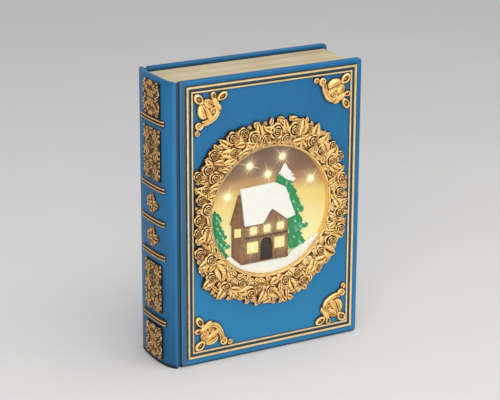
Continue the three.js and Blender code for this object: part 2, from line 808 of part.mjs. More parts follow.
// Lobes: place along each side, half length, half width, heading in degrees and height, all but
// the heading as shares of the scroll.
const scrollLobeShares = [
  [0.24, 0.43, 0.205, 0.155, 70, 1], [0.35, 0.46, 0.18, 0.06, 60, 0.9], [0.125, 0.135, 0.155, 0.09, 48, 0.8],
  [0.37, 0.26, 0.15, 0.115, 35, 0.9], [0.495, 0.09, 0.1, 0.065, 95, 0.75], [0.72, 0.12, 0.145, 0.085, 152, 0.8],
  [0.55, 0.25, 0.14, 0.08, 60, 0.85], [0.64, 0.36, 0.1, 0.055, 62, 0.75],
];
const scrollCurlShares = [[0.125, 0.75, 0.12], [0.09, 0.925, 0.09], [0.485, 0.44, 0.1]];
const scrollStemShares = [[0.56, 0.33], [0.6, 0.47], [0.52, 0.6], [0.4, 0.68], [0.27, 0.73], [0.16, 0.74]];
const scrollStemHalfShare = 0.06;
const stemSteps = 6;

function cornerScroll() {
  const s = scrollSize;
  const lobes = scrollLobeShares.map(([a, b, long, wide, heading, rise]) =>
    lobe(a * s, b * s, long * s, wide * s, radians(heading), rise * scrollHeight));
  const curls = scrollCurlShares.map(([a, b, size]) => curl(a * s, b * s, size * s, scrollHeight));
  const spine = scrollStemShares.map(([a, b]) => new THREE.Vector3(a * s, 0, -b * s));
  const stem = tube(new THREE.CatmullRomCurve3(spine), scrollStemHalfShare * s, stemSteps, stemSteps);
  const above = box(-s, 2 * s, -2 * scrollHeight, 0, -2 * s, s);
  return common(join([...lobes, ...curls, stem]), above);
}

// Spine ornaments

const panelSpan = [panelStart, panelStart + panelAcross];
const panelColumns = 8;
const panelEdgeShare = 0.55;

// Height of the filigree at a place on a panel: rows of curls inside a plain border.
function filigree(acrossShare, upShare, tall) {
  const border = Math.min(acrossShare, 1 - acrossShare, upShare, 1 - upShare);
  if (border === 0) return 0;
  const a = (acrossShare * panelAcross * Math.PI) / curlPitch;
  const b = (upShare * tall * Math.PI) / curlPitch;
  return panelEdgeShare + (1 - panelEdgeShare) * Math.sin(a + Math.cos(b)) * Math.sin(b + Math.cos(a));
}

function spinePanel(z0, z1) {
  const tall = z1 - z0;
  const rows = floor((panelColumns * tall) / panelAcross);
  const depth = (share) => panelSpan[0] + share * panelAcross;
  const front = (s, t) => {
    const lift = seatGap + panelPlate + panelRelief * filigree(s, t, tall);
    return onSpine(depth(s), z0 + t * tall, lift);
  };
  return slab(panelColumns, rows, front, (s, t) => onSpine(depth(s), z0 + t * tall, seatGap));
}

// Band of two gilt rules on a dark strip.
const bandSteps = 10;

function spineBand(z) {
  const half = bandHeight / 2;
  const rule = bandRuleWidth;
  const section = [
    [0, -half], [bandRise, -half], [bandRise, rule - half], [bandBase, rule - half],
    [bandBase, half - rule], [bandRise, half - rule], [bandRise, half], [0, half],
  ];
  const rings = [];
  for (let i = 0; i <= bandSteps; i++) {
    const y = bandStart + (bandAcross * i) / bandSteps;
    rings.push(section.map(([lift, rise]) => onSpine(y, z + rise, seatGap + lift)));
  }
  const lift = seatGap + bandBase / 2;
  return ringBody(rings, onSpine(bandStart, z, lift), onSpine(bandStart + bandAcross, z, lift));
}

// Heights on the spine. What the bands and the gaps leave free is shared out between the
// panels and the two places for the flowers.
const ladderShares = { head: 0.151, upper: 0.2305, flower: 0.125, lower: 0.2213, tail: 0.1472 };
const ladderGaps = panelHeadMargin + headPanelToBand + 2 * upperPanelToBand + 2 * lowerPanelToBand
  + tailPanelToBand + panelTailMargin;
const bandCount = 5;
const ladderRoom = coverHeight - bandCount * bandHeight - ladderGaps;
const headTop = coverHeight - panelHeadMargin;
const ladder = { head: [headTop - ladderShares.head * ladderRoom, headTop] };
ladder.band1 = ladder.head[0] - headPanelToBand - bandHeight / 2;
const upperTop = ladder.band1 - bandHeight / 2 - upperPanelToBand;
ladder.upper = [upperTop - ladderShares.upper * ladderRoom, upperTop];
ladder.band2 = ladder.upper[0] - upperPanelToBand - bandHeight / 2;
ladder.tail = [panelTailMargin, panelTailMargin + ladderShares.tail * ladderRoom];
ladder.band5 = ladder.tail[1] + tailPanelToBand + bandHeight / 2;
const lowerBottom = ladder.band5 + bandHeight / 2 + lowerPanelToBand;
ladder.lower = [lowerBottom, lowerBottom + ladderShares.lower * ladderRoom];
ladder.band4 = ladder.lower[1] + lowerPanelToBand + bandHeight / 2;
ladder.band3 = (ladder.band2 + ladder.band4) / 2;

// Four-petalled flower between two bands.
const flowerTall = ladder.band2 - ladder.band3 - bandHeight - 2 * flowerToBand;
const flowerRingShares = [[1, 0], [0.95, 0.5], [0.55, 1], [0.3, 0.45]];
const flowerSectors = 16;
const flowerWaistShare = 0.36;
const flowerPetals = 4;

function spineFlower(z) {
  const y = (panelSpan[0] + panelSpan[1]) / 2;
  const rings = flowerRingShares.map(([reach, rise]) => {
    const ring = [];
    for (let i = 0; i < flowerSectors; i++) {
      const turn = (i / flowerSectors) * 2 * Math.PI;
      const petal = 1 - flowerWaistShare * Math.abs(Math.sin((flowerPetals * turn) / 2));
      const across = (flowerAcross / 2) * petal * reach * Math.cos(turn);
      const up = (flowerTall / 2) * petal * reach * Math.sin(turn);
      const lift = seatGap + (rise > 0 ? flowerPlate + flowerRelief * rise : 0);
      ring.push(onSpine(y + across, z + up, lift));
    }
    return ring;
  });
  return ringBody(rings, onSpine(y, z, seatGap), onSpine(y, z, seatGap + flowerPlate + flowerRelief));
}

// Snow scene: outlines are shares of the window's radius from its centre.

function inWindow([a, b]) {
  return [centre.x + a * windowRadius, centre.z + b * windowRadius];
}

const cottageFront = skyFront - cottageRelief;
const sceneCut = [-wreathHeight, skyFront + cutOverrun];
const recess = barY(centre.x, centre.z, coverWindowRadius - seatGap, ...sceneCut, windowSegments);

const eavesShares = [[-0.466, -0.18], [-0.141, -0.173], [0.023, 0.039], [0.282, -0.164]];
const roofShares = [...eavesShares, [0.436, -0.123], [0.28, 0.35], [0.093, 0.452], [-0.527, 0.426]];
const frontWallShares = [[-0.516, -0.79], [0.305, -0.79], [0.305, -0.164]];
const gableWallShares = [
  [-0.66, -0.666], [-0.516, -0.79], [-0.45, -0.79], [-0.45, -0.2], [-0.49, -0.19], [-0.54, 0.34],
  [-0.69, -0.13], [-0.66, -0.14],
];
const gableFarShare = -0.69;
const gableNearShare = -0.516;
const windowOpeningShares = [
  [-0.58, -0.267, 0.1, 0.13], [-0.307, -0.27, 0.125, 0.125], [-0.068, -0.265, 0.125, 0.125],
  [0.17, -0.256, 0.125, 0.125], [-0.323, -0.54, 0.2, 0.186], [0.155, -0.524, 0.186, 0.186],
];
const doorwayShares = { x: -0.082, bottom: -0.776, spring: -0.5, half: 0.1 };
const beamShares = { left: -0.4, right: 0.28, z: -0.366 };

function eaves() {
  return eavesShares.map(inWindow).map(([x, z]) => [x, z - seatGap]);
}

function frontWallOutline() {
  const top = eaves().reverse();
  const wall = frontWallShares.map(inWindow);
  const cornerTop = wall[2];
  return [wall[0], wall[1], [cornerTop[0], top[0][1]], ...top];
}

function windowHole([a, b, wide, tall]) {
  const [x, z] = inWindow([a, b]);
  const halfWide = (wide * windowRadius) / 2;
  const halfTall = (tall * windowRadius) / 2;
  return box(x - halfWide, x + halfWide, ...sceneCut, z - halfTall, z + halfTall);
}

function doorShape(clearance) {
  const [x, z] = inWindow([doorwayShares.x, doorwayShares.bottom]);
  const half = doorwayShares.half * windowRadius - clearance;
  const spring = inWindow([0, doorwayShares.spring])[1];
  const shape = new THREE.Shape();
  shape.moveTo(x - half, z + clearance);
  shape.lineTo(x + half, z + clearance);
  shape.lineTo(x + half, spring);
  shape.absarc(x, spring, half, 0, Math.PI);
  return shape;
}

function gableFront(x) {
  const [near] = inWindow([gableNearShare, 0]);
  const [far] = inWindow([gableFarShare, 0]);
  const away = THREE.MathUtils.clamp((near - x) / (near - far), 0, 1);
  return cottageFront + away * (cottageRelief - gableFarRelief);
}

function cottage() {
  const wall = relief(frontWallOutline(), () => cottageFront, skyFront);
  const gable = relief(gableWallShares.map(inWindow), gableFront, skyFront);
  const [beamLeft, beamZ] = inWindow([beamShares.left, beamShares.z]);
  const [beamRight] = inWindow([beamShares.right, beamShares.z]);
  const beamLow = beamZ - beamWidth / 2;
  const beam = box(beamLeft, beamRight, cottageFront - beamRise, skyFront, beamLow, beamLow + beamWidth);
  const holes = windowOpeningShares.map(windowHole);
  const doorHole = extrudeY(doorShape(0), ...sceneCut, { curveSegments: smallSegments });
  return cut(join([wall, gable, beam]), [...holes, doorHole]);
}

function cottageDoor() {
  return extrudeY(doorShape(seatGap), skyFront - doorRelief, skyFront, { curveSegments: smallSegments });
}

function roofFront(x, z) {
  const low = inWindow(eavesShares[0])[1];
  const high = inWindow(roofShares[6])[1];
  const climb = (z - low) / (high - low);
  return skyFront - roofEavesRelief + climb * (roofEavesRelief - roofRidgeRelief);
}

function roofSnow() {
  return relief(roofShares.map(inWindow), roofFront, skyFront);
}

// Fir: tips and notches of its tiers as shares of the half width and of the height from the top.
const firTierShares = [
  [0.5, 0.23], [0.28, 0.25], [0.77, 0.57], [0.48, 0.6], [1, 0.75], [0.55, 0.78], [0.9, 0.9], [0.3, 0.93],
  [0.15, 1],
];
const firRightShares = { x: 0.278, top: 0.727, bottom: -0.78, half: 0.4 };
const firLeftShares = { x: -0.95, top: 0.134, bottom: -0.73, half: 0.23 };

function firOutline({ x, top, bottom, half }) {
  const side = (sign) => firTierShares.map(([reach, down]) =>
    [x + sign * reach * half, top - down * (top - bottom)]);
  return [...side(-1).reverse(), [x, top], ...side(1)].map(inWindow);
}

// Everything in front of the firs, with its clearance.
function houseClearance() {
  const outlines = [frontWallOutline(), gableWallShares.map(inWindow), roofShares.map(inWindow)];
  return outlines.map((outline) => extrudeY(shapeOf(grown(outline, seatGap)), ...sceneCut));
}

function fir(shares) {
  const tree = relief(firOutline(shares), () => skyFront - firRelief, skyFront);
  return common(cut(tree, houseClearance()), recess);
}

const snowTopShares = [
  [1.1, -0.4], [0.818, -0.534], [0.5, -0.68], [0.28, -0.76], [-0.5, -0.76], [-0.64, -0.65], [-0.8, -0.62],
  [-1.1, -0.6],
];

function snowBank() {
  const outline = [...snowTopShares, [-1.1, -1.1], [1.1, -1.1]].map(inWindow);
  const bank = relief(outline, () => skyFront - snowRelief, skyFront);
  const trees = [firRightShares, firLeftShares].map((shares) =>
    extrudeY(shapeOf(grown(firOutline(shares), seatGap)), ...sceneCut));
  return common(cut(bank, [...houseClearance(), ...trees]), recess);
}

// Lamps: star lamps pass through the sky, window lamps end behind it.
const starShares = [[-0.341, 0.764], [0.234, 0.84], [-0.023, 0.589], [-0.727, 0.327], [0.745, 0.407]];
const lampWindowShares = windowOpeningShares.slice(1);

function skyPanel() {
  const disc = barY(centre.x, centre.z, skyRadius, skyFront, skyBack, windowSegments);
  const holes = starShares.map(inWindow).map(([x, z]) =>
    barY(x, z, ledRadius + seatGap, skyFront - cutOverrun, skyBack + cutOverrun));
  return cut(disc, holes);
}

const ledDomeShares = [[1, 0], [0.7, 0.75], [0, 1]];

function led([a, b], tip) {
  const [x, z] = inWindow([a, b]);
  const dome = ledDomeShares.map(([reach, rise]) => [ledRadius * reach, tip + ledRadius * (1 - rise)]);
  const profile = [
    [0, boardFront],
    [ledFlangeRadius, boardFront],
    [ledFlangeRadius, boardFront - ledFlangeHeight],
    [ledRadius, boardFront - ledFlangeHeight],
    ...dome,
  ];
  return turned(x, z, profile, smallSegments);
}

// Housing: a turned cup behind the sky, glued to the cover, with posts staked over the lamp board.
// It takes a share of the room from the board to the battery box, and the leads bow in the rest.
const housingRoomShare = 0.44;
const leadRiseShare = 0.58;
const housingInner = coverWindowRadius;
const boxFront = bay.floor - bayWall;
const housingBack = boardBack + housingRoomShare * (boxFront - boardBack);
const leadRise = leadRiseShare * (boxFront - housingBack);
const postCircle = housingInner - boardEdgeClearance - 2 * postRadius;
const postTurns = [52, 180, 300];
const leadHoleShare = -0.45;

function sceneHousing() {
  const profile = [
    [0, housingBack],
    [housingInner + housingWall, housingBack],
    [housingInner + housingWall, skyBack + seatGap + housingFlange],
    [flangeRadius, skyBack + seatGap + housingFlange],
    [flangeRadius, coverThickness],
    [skyRadius + seatGap, coverThickness],
    [skyRadius + seatGap, skyBack + seatGap],
    [housingInner, skyBack + seatGap],
    [housingInner, housingBack - housingWall],
    [0, housingBack - housingWall],
  ];
  const cup = turned(centre.x, centre.z, profile, windowSegments);
  const posts = postTurns.flatMap((turn) => {
    const [x, z] = aroundWindow(postCircle, turn);
    const head = boardFront - seatGap;
    return [
      barY(x, z, postRadius, boardBack + seatGap, housingBack - housingWall / 2),
      barY(x, z, stakeRadius, head - stakeHeadHeight / 2, housingBack - housingWall / 2),
      barY(x, z, stakeHeadRadius, head - stakeHeadHeight, head),
    ];
  });
  const hole = inWindow([0, leadHoleShare]);
  const inside = housingBack - housingWall - cutOverrun;
  const leadHole = barY(...hole, leadHoleRadius, inside, housingBack + cutOverrun);
  return cut(join([cup, ...posts]), [leadHole]);
}

function ledBoard() {
  const radius = housingInner - boardEdgeClearance;
  const disc = barY(centre.x, centre.z, radius, boardFront, boardBack, roundSegments);
  const holes = postTurns.map((turn) => {
    const [x, z] = aroundWindow(postCircle, turn);
    return barY(x, z, stakeRadius + seatGap, boardFront - cutOverrun, boardBack + cutOverrun);
  });
  return cut(disc, holes);
}

// Screw along y, its head flush with the face of the back cover.
function backCoverScrew([x, z]) {
  const seat = bookDepth - screwHeadHeight;
  const end = bookDepth - coverScrewLength;
  const profile = [
    [0, bookDepth],
    [coverScrewHeadRadius, bookDepth],
    [coverScrewHeadRadius, seat],
    [coverScrewRadius, seat],
    [coverScrewRadius, end],
    [0, end],
  ];
  return turned(x, z, profile, smallSegments);
}

// Battery bay and its metal

const tabDepth = cellAxis;

function batteryBox() {
  const around = (reach, y0, y1) =>
    box(bay.left - reach, bay.right + reach, y0, y1, bay.bottom - reach, bay.top + reach);
  const tray = around(bayWall, bay.floor - bayWall, backCoverInner);
  const flange = around(bayWall + bayFlange, backCoverInner - bayWall, backCoverInner);
  const hollow = around(0, bay.floor, backCoverInner + cutOverrun);
  const half = contactTabWidth / 2 + seatGap;
  const thin = contactThickness / 2 + seatGap;
  const slot = [bay.right - cutOverrun, bay.right + bayWall + cutOverrun, tabDepth - thin, tabDepth + thin];
  const slots = [lowerCell, upperCell].map((z) => box(...slot, z - half, z + half));
  return cut(join([tray, flange]), [hollow, ...slots, ...tongueNotches()]);
}

// Conical spring wound along x, from its wide base to its narrow top.
class ConeSpiral extends THREE.Curve {
  constructor(x, z, direction) {
    super();
    Object.assign(this, { x, z, direction });
  }

  getPoint(t, target = new THREE.Vector3()) {
    const turn = 2 * Math.PI * springTurns * t;
    const radius = springBaseRadius + (springTopRadius - springBaseRadius) * t;
    const along = springWire / 2 + t * (springLength - springWire);
    const [y, z] = [cellAxis + radius * Math.cos(turn), this.z + radius * Math.sin(turn)];
    return target.set(this.x + this.direction * along, y, z);
  }
}

const springStepsPerTurn = 8;
const springSides = 5;

function contactSpring(x, z, direction) {
  return tube(new ConeSpiral(x, z, direction), springWire / 2, springTurns * springStepsPerTurn, springSides);
}

// Plate at the left end, which joins the two cells and carries the upper cell's spring.
function linkContact() {
  const x = bay.left + seatGap;
  const half = contactWidth / 2;
  const across = [x, x + contactThickness, cellAxis - half, cellAxis + half];
  const plate = box(...across, lowerCell - half, upperCell + half);
  return join([plate, contactSpring(x + contactThickness / 2, upperCell, 1)]);
}

// Plate at the right end, with its tag through the bay's wall.
function terminal(z) {
  const x = bay.right - seatGap;
  const half = contactWidth / 2;
  const plate = box(x - contactThickness, x, cellAxis - half, cellAxis + half, z - half, z + half);
  const thin = contactThickness / 2;
  const tabEnd = bay.right + bayWall + contactTabReach;
  const tabHalf = contactTabWidth / 2;
  const tab = box(x - contactThickness, tabEnd, tabDepth - thin, tabDepth + thin, z - tabHalf, z + tabHalf);
  return join([plate, tab]);
}

function springTerminal(z) {
  const seat = bay.right - seatGap - contactThickness / 2;
  return join([terminal(z), contactSpring(seat, z, -1)]);
}

// Least clear gap between neighbouring turns of the spring, measured on its points.
function leastSpringGap() {
  const points = new ConeSpiral(0, 0, 1).getPoints(springTurns * springStepsPerTurn);
  let least = Infinity;
  for (let i = 0; i < points.length; i++) {
    for (let j = i + springStepsPerTurn / 2; j < points.length; j++) {
      least = Math.min(least, points[i].distanceTo(points[j]) - springWire);
    }
  }
  return least;
}

// Cell with its plus end toward the given side.
function cell(z, side) {
  const can = bay.left + seatGap + contactThickness + (side > 0 ? springLength : cellNubLength) + seatGap;
  const body = barX(cellAxis, z, cellDiameter / 2, can, can + cellLength, roundSegments / 2);
  const nub = side > 0
    ? barX(cellAxis, z, cellNubRadius, can + cellLength / 2, can + cellLength + cellNubLength)
    : barX(cellAxis, z, cellNubRadius, can - cellNubLength, can + cellLength / 2);
  return join([body, nub]);
}

// Hinge line of the battery cover, a little inside the middle of its rolled top edge, so that
// the cover hangs shut.
const rollRadius = doorThickness / 2;
const doorHinge = { y: bookDepth - rollRadius - hingeSetIn, z: doorTop - rollRadius };

// Battery cover: swings on two tongues at its top edge, with finger grooves at its bottom edge.
function batteryCover() {
  const left = doorway.left + doorGap;
  const right = doorway.right - doorGap;
  const bottom = doorway.bottom + doorGap;
  const outline = new THREE.Shape();
  outline.moveTo(doorInner, bottom);
  outline.lineTo(bookDepth, bottom);
  outline.lineTo(bookDepth, doorTop - rollRadius);
  outline.absarc(bookDepth - rollRadius, doorTop - rollRadius, rollRadius, 0, Math.PI);
  const plate = extrudeX(outline, left, right, { curveSegments: smallSegments });
  const under = doorInner - doorGap;
  const deep = under - tongueThickness;
  const rooted = doorInner + doorThickness / 2;
  const root = doorTop - tongueRoot;
  const tongues = tongueCentres.flatMap((x) => {
    const side = [x - tongueWidth / 2, x + tongueWidth / 2];
    return [
      box(...side, deep, under, root, doorTop + tongueReach),
      box(...side, deep, rooted, root, doorTop - tongueRoot / 2),
    ];
  });
  const mid = (left + right) / 2;
  const latchSide = [mid - latchWidth / 2, mid + latchWidth / 2];
  const latchTop = bay.bottom + cellClearance + tongueThickness;
  const latch = box(...latchSide, deep, rooted, bay.bottom + doorGap, latchTop);
  const grip = [mid - gripGrooveLength / 2, mid + gripGrooveLength / 2];
  const grooves = [1, 2, 3, 4].map((i) => {
    const z = bottom + i * gripGroovePitch;
    return box(...grip, bookDepth - gripGrooveDepth, bookDepth + cutOverrun, z, z + gripGrooveWidth);
  });
  return cut(join([plate, ...tongues, latch]), grooves);
}

// Slide switch, drawn switched on: the knob stands at the far end of its slot.
const switchTop = backCoverInner;
const switchBottom = switchTop - switchDeep;
const knobCentre = switchPlace.x + knobTravel / 2;

function switchBody() {
  const atSwitch = (x, halfLong, y0, y1, halfWide) =>
    box(x - halfLong, x + halfLong, y0, y1, switchPlace.z - halfWide, switchPlace.z + halfWide);
  const body = atSwitch(switchPlace.x, switchLength / 2, switchBottom, switchTop, switchWide / 2);
  const tagEnd = switchBottom - switchTagLength;
  const tags = [-1, 1].map((side) => {
    const x = switchPlace.x + (side * switchLength) / 4;
    return atSwitch(x, switchTagWidth / 2, tagEnd, switchTop - switchDeep / 2, switchTagThickness / 2);
  });
  const halfSlot = (knobLength + knobTravel) / 2 + seatGap;
  const floorOfSlot = switchTop - knobDepthInBody - seatGap;
  const above = switchTop + cutOverrun;
  const channel = atSwitch(switchPlace.x, halfSlot, floorOfSlot, above, knobWide / 2 + seatGap);
  return cut(join([body, ...tags]), [channel]);
}

function switchKnob() {
  const half = knobLength / 2;
  const top = bookDepth - knobSunk;
  const deep = switchTop - knobDepthInBody;
  const low = switchPlace.z - knobWide / 2;
  const stem = box(knobCentre - half, knobCentre + half, deep, top, low, low + knobWide);
  const grooves = [-1, 1].map((side) => {
    const x = knobCentre + (side * knobLength) / 4 - knobRidge / 2;
    return box(x, x + knobRidge, top - knobRidge, top + cutOverrun, low - cutOverrun, low + 2 * knobWide);
  });
  return cut(stem, grooves);
}

// Leads: from the bay's tags past the switch and through the housing to the lamp board.
const tagX = bay.right + bayWall + contactTabReach + seatGap + leadRadius;
const leadSides = 6;
const leadSteps = 14;
const housingHole = inWindow([0, leadHoleShare]);
const tagFront = switchBottom - switchTagLength - seatGap;

function lead(points) {
  const curve = new THREE.CatmullRomCurve3(points.map((p) => new THREE.Vector3(...p)), false, "centripetal");
  return tube(curve, leadRadius, leadSteps, leadSides);
}

function redLead() {
  const tag = switchPlace.x + switchLength / 4;
  return lead([
    [tagX, tabDepth, upperCell],
    [tagX + leadRise, tabDepth - leadRise, upperCell + leadRise],
    [(tagX + tag) / 2, tagFront - leadRise, switchPlace.z],
    [tag, tagFront - leadRise / 2, switchPlace.z],
    [tag, tagFront, switchPlace.z],
  ]);
}

function switchedLead() {
  const tag = switchPlace.x - switchLength / 4;
  const [x, z] = [housingHole[0] - leadHoleRadius / 2, housingHole[1]];
  return lead([
    [tag, tagFront, switchPlace.z],
    [tag, tagFront - leadRise / 2, switchPlace.z],
    [x, (tagFront + housingBack) / 2, (switchPlace.z + z) / 2],
    [x, housingBack, z],
    [x, boardBack + seatGap, z],
  ]);
}

function blackLead() {
  const [x, z] = [housingHole[0] + leadHoleRadius / 2, housingHole[1]];
  return lead([
    [tagX, tabDepth, lowerCell],
    [tagX + leadRise, bay.floor - leadRise, lowerCell + leadRise],
    [(tagX + x) / 2, housingBack + leadRise, (upperCell + z) / 2],
    [x, housingBack, z],
    [x, boardBack + seatGap, z],
  ]);
}

// Assembly

add("front_cover", frontCover(), finishes.blue);
add("back_cover", backCover(), finishes.blue);
add("spine_shell", spineShell(), finishes.blue);
add("page_edge_head", pageStrip(pageTop - pageWall, pageTop), finishes.pages);
add("page_edge_tail", pageStrip(pageInset, pageInset + pageWall), finishes.pages);
add("page_edge_fore", foreStrip(), finishes.pages);

add("outer_border_bead", bead(0, outerBeadWidth, outerBeadHeight), finishes.gilt);
add("inner_border_bead", bead(innerBeadOffset, innerBeadWidth, innerBeadHeight), finishes.gilt);
add("rose_wreath", roseWreath(), finishes.gilt);

const scrollInset = beadInnerOffset + scrollClearance;
const scrollCorners = {
  top_left: [frame.left + scrollInset, frame.top - scrollInset],
  top_right: [frame.right - scrollInset, frame.top - scrollInset],
  bottom_right: [frame.right - scrollInset, frame.bottom + scrollInset],
  bottom_left: [frame.left + scrollInset, frame.bottom + scrollInset],
};
Object.entries(scrollCorners).forEach(([corner, [x, z]], quarter) => {
  const scroll = add(`corner_scroll_${corner}`, cornerScroll(), finishes.gilt);
  scroll.rotation.y = (quarter * Math.PI) / 2;
  scroll.position.set(x, 0, z);
});

add("spine_panel_head", spinePanel(...ladder.head), finishes.gilt);
add("spine_panel_upper", spinePanel(...ladder.upper), finishes.gilt);
add("spine_panel_lower", spinePanel(...ladder.lower), finishes.gilt);
add("spine_panel_tail", spinePanel(...ladder.tail), finishes.gilt);
for (const i of [1, 2, 3, 4, 5]) add(`spine_band_${i}`, spineBand(ladder[`band${i}`]), finishes.gilt);
add("spine_flower_upper", spineFlower((ladder.band2 + ladder.band3) / 2), finishes.gilt);
add("spine_flower_lower", spineFlower((ladder.band3 + ladder.band4) / 2), finishes.gilt);

add("sky_panel", skyPanel(), finishes.sky);
add("cottage", cottage(), finishes.timber);
add("cottage_door", cottageDoor(), finishes.darkWood);
add("roof_snow", roofSnow(), finishes.snow);
add("fir_tree_right", fir(firRightShares), finishes.fir);
add("fir_tree_left", fir(firLeftShares), finishes.fir);
add("snow_bank", snowBank(), finishes.snow);

add("scene_housing", sceneHousing(), finishes.whitePlastic);
add("led_board", ledBoard(), finishes.board);
starShares.forEach((place, i) => {
  add(`star_led_${i + 1}`, led(place, skyFront - starTipProud), finishes.lamp);
});
lampWindowShares.forEach((place, i) => {
  add(`window_led_${i + 1}`, led(place, skyBack + windowLedStandoff), finishes.lamp);
});

add("battery_box", batteryBox(), finishes.blackPlastic);
add("cell_link_contact", linkContact(), finishes.steel);
add("positive_contact", terminal(upperCell), finishes.steel);
add("negative_contact", springTerminal(lowerCell), finishes.steel);
add("battery_cell_upper", cell(upperCell, 1), finishes.cellJacket);
add("battery_cell_lower", cell(lowerCell, -1), finishes.cellJacket);
add("battery_cover", batteryCover(), finishes.blue);
add("switch_body", switchBody(), finishes.blackPlastic);
add("switch_knob", switchKnob(), finishes.blackPlastic);
add("lead_battery_to_switch", redLead(), finishes.redLead);
add("lead_switch_to_board", switchedLead(), finishes.redLead);
add("lead_battery_to_board", blackLead(), finishes.blackLead);
coverScrewPlaces.forEach((place, i) => {
  add(`back_cover_screw_${i + 1}`, backCoverScrew(place), finishes.steel);
});

// The origin is on the table, under the middle of the whole book.
const bounds = new THREE.Box3().setFromObject(book);
const middle = bounds.getCenter(new THREE.Vector3());
book.position.set(-middle.x, -middle.y, -bounds.min.z);

const hinge = [doorHinge.y - middle.y, doorHinge.z - bounds.min.z].map((place) => place.toFixed(2));
console.log("least gap between spring turns, mm:", leastSpringGap().toFixed(2));
console.log("hinge line of the battery cover, y and z, mm:", hinge.join(", "));
const ornament = new THREE.Group();
ornament.add(book);

export default ornament;
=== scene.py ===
"""Looks of a battery-lit ornament shaped like a closed antique book, with a gilt wreath and a snow scene."""

import math
import random
from typing import NamedTuple

import bmesh
import bpy
from bpy.props import FloatProperty, FloatVectorProperty, IntProperty, PointerProperty
from mathutils import Matrix, Vector, noise


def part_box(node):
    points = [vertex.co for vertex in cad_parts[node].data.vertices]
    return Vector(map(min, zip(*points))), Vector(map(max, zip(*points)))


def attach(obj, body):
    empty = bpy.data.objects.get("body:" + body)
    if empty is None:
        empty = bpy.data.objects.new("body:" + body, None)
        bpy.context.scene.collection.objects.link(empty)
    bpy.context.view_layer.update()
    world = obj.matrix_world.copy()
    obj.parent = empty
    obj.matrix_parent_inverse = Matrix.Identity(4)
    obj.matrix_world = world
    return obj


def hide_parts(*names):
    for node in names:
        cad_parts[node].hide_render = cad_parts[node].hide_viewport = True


bl_info = {
    "name": "Lit Book Ornament",
    "version": (1, 0, 0),
    "blender": (4, 5, 0),
    "location": "View3D > Sidebar > Ornament",
    "description": "Gilt relief, painted covers, snow scene and lamps of a book-shaped ornament",
    "category": "Object",
}

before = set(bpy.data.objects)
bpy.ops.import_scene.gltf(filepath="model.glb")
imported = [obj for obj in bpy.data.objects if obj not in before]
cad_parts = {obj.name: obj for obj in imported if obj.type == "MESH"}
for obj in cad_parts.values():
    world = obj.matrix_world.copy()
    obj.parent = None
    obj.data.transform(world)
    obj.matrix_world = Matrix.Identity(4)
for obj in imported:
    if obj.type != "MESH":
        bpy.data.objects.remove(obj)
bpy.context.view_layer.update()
MM = 0.001
TURN = 2 * math.pi

# Places on the book in millimetres: a from the hinge edge, b up from the table, c out of the cover.
COVER_WIDE, BOOK_DEEP = 139.0, 50.0
COVER_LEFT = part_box("front_cover")[1].x - COVER_WIDE * MM
COVER_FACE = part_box("front_cover")[0].y
ON_COVER = Matrix(((MM, 0, 0, COVER_LEFT), (0, 0, -MM, COVER_FACE), (0, MM, 0, 0), (0, 0, 0, 1)))

# Gilt frame: its outline, then each bead's inset from the outline, width and height.
BEAD_LEFT, BEAD_RIGHT, BEAD_BOTTOM, BEAD_TOP = 4.1, 134.9, 4.6, 196.6
OUTER_BEAD, INNER_BEAD = (0.0, 2.2, 1.3), (3.6, 1.7, 1.0)
# Painted stretches: the channel from and to an inset from the frame's outline, the groove from and to an a.
CHANNEL, GROOVE = (-0.2, 5.8), (-2.9, 0.3)
# The front cover's paint is lightened below this height over this drop, in metres: painted light on its lower
# part.
FOOT_LIGHT_BELOW, FOOT_LIGHT_DROP = 0.14, 0.12

WINDOW_A = (BEAD_LEFT + BEAD_RIGHT) / 2
WINDOW_B = (BEAD_BOTTOM + BEAD_TOP) / 2
WINDOW_RADIUS = 44.0
SKY_C = -4.5
# The opening that the wreath leaves lies a little up and to the left of the window's middle. Each pair is a
# shift and a radius: of the hole in the cover, then of the gilt rim on top of it.
OPENING_SHIFT, OPENING_RADIUS = (-0.46, 1.0), 45.6
RIM_SHIFT, RIM_RADIUS = (-0.9, 1.23), 45.7

# Lamps in the sky and windows of the cottage, in shares of the window's radius from its middle: across, up
# and, for a cottage window, width and height. The first of those has no lamp behind it.
STAR_SHARES = ((-0.341, 0.764), (0.234, 0.84), (-0.023, 0.589), (-0.727, 0.327), (0.745, 0.407))
PANE_SHARES = (
    (-0.58, -0.267, 0.1, 0.13), (-0.307, -0.27, 0.125, 0.125), (-0.068, -0.265, 0.125, 0.125),
    (0.17, -0.256, 0.125, 0.125), (-0.323, -0.54, 0.2, 0.186), (0.155, -0.524, 0.186, 0.186),
)
PANE_LAMPS = [shares[:2] for shares in PANE_SHARES[1:]]


def window_place(share_a, share_b, c):
    """Place on the cover of a point given in shares of the window's radius from its middle."""
    return Vector((WINDOW_A + share_a * WINDOW_RADIUS, WINDOW_B + share_b * WINDOW_RADIUS, c))


def on_window(share_a, share_b):
    """World place of such a point on the sky's face."""
    return ON_COVER @ window_place(share_a, share_b, SKY_C)


def opening_middle():
    """World place of the middle of the opening, on the cover's face."""
    return ON_COVER @ Vector((WINDOW_A + OPENING_SHIFT[0], WINDOW_B + OPENING_SHIFT[1], 0))


def srgb(*levels):
    """Linear colour from the 0 to 255 values of a paint chip."""
    return tuple(((v / 255 + 0.055) / 1.055) ** 2.4 if v > 10 else v / 255 / 12.92 for v in levels)


def smooth_step(value, low, high):
    """0 up to one value and 1 from another on, with an S-shaped rise between."""
    share = min(max((value - low) / (high - low), 0.0), 1.0)
    return share * share * (3 - 2 * share)


# Materials

BLACK, WHITE = (0, 0, 0), (1, 1, 1)


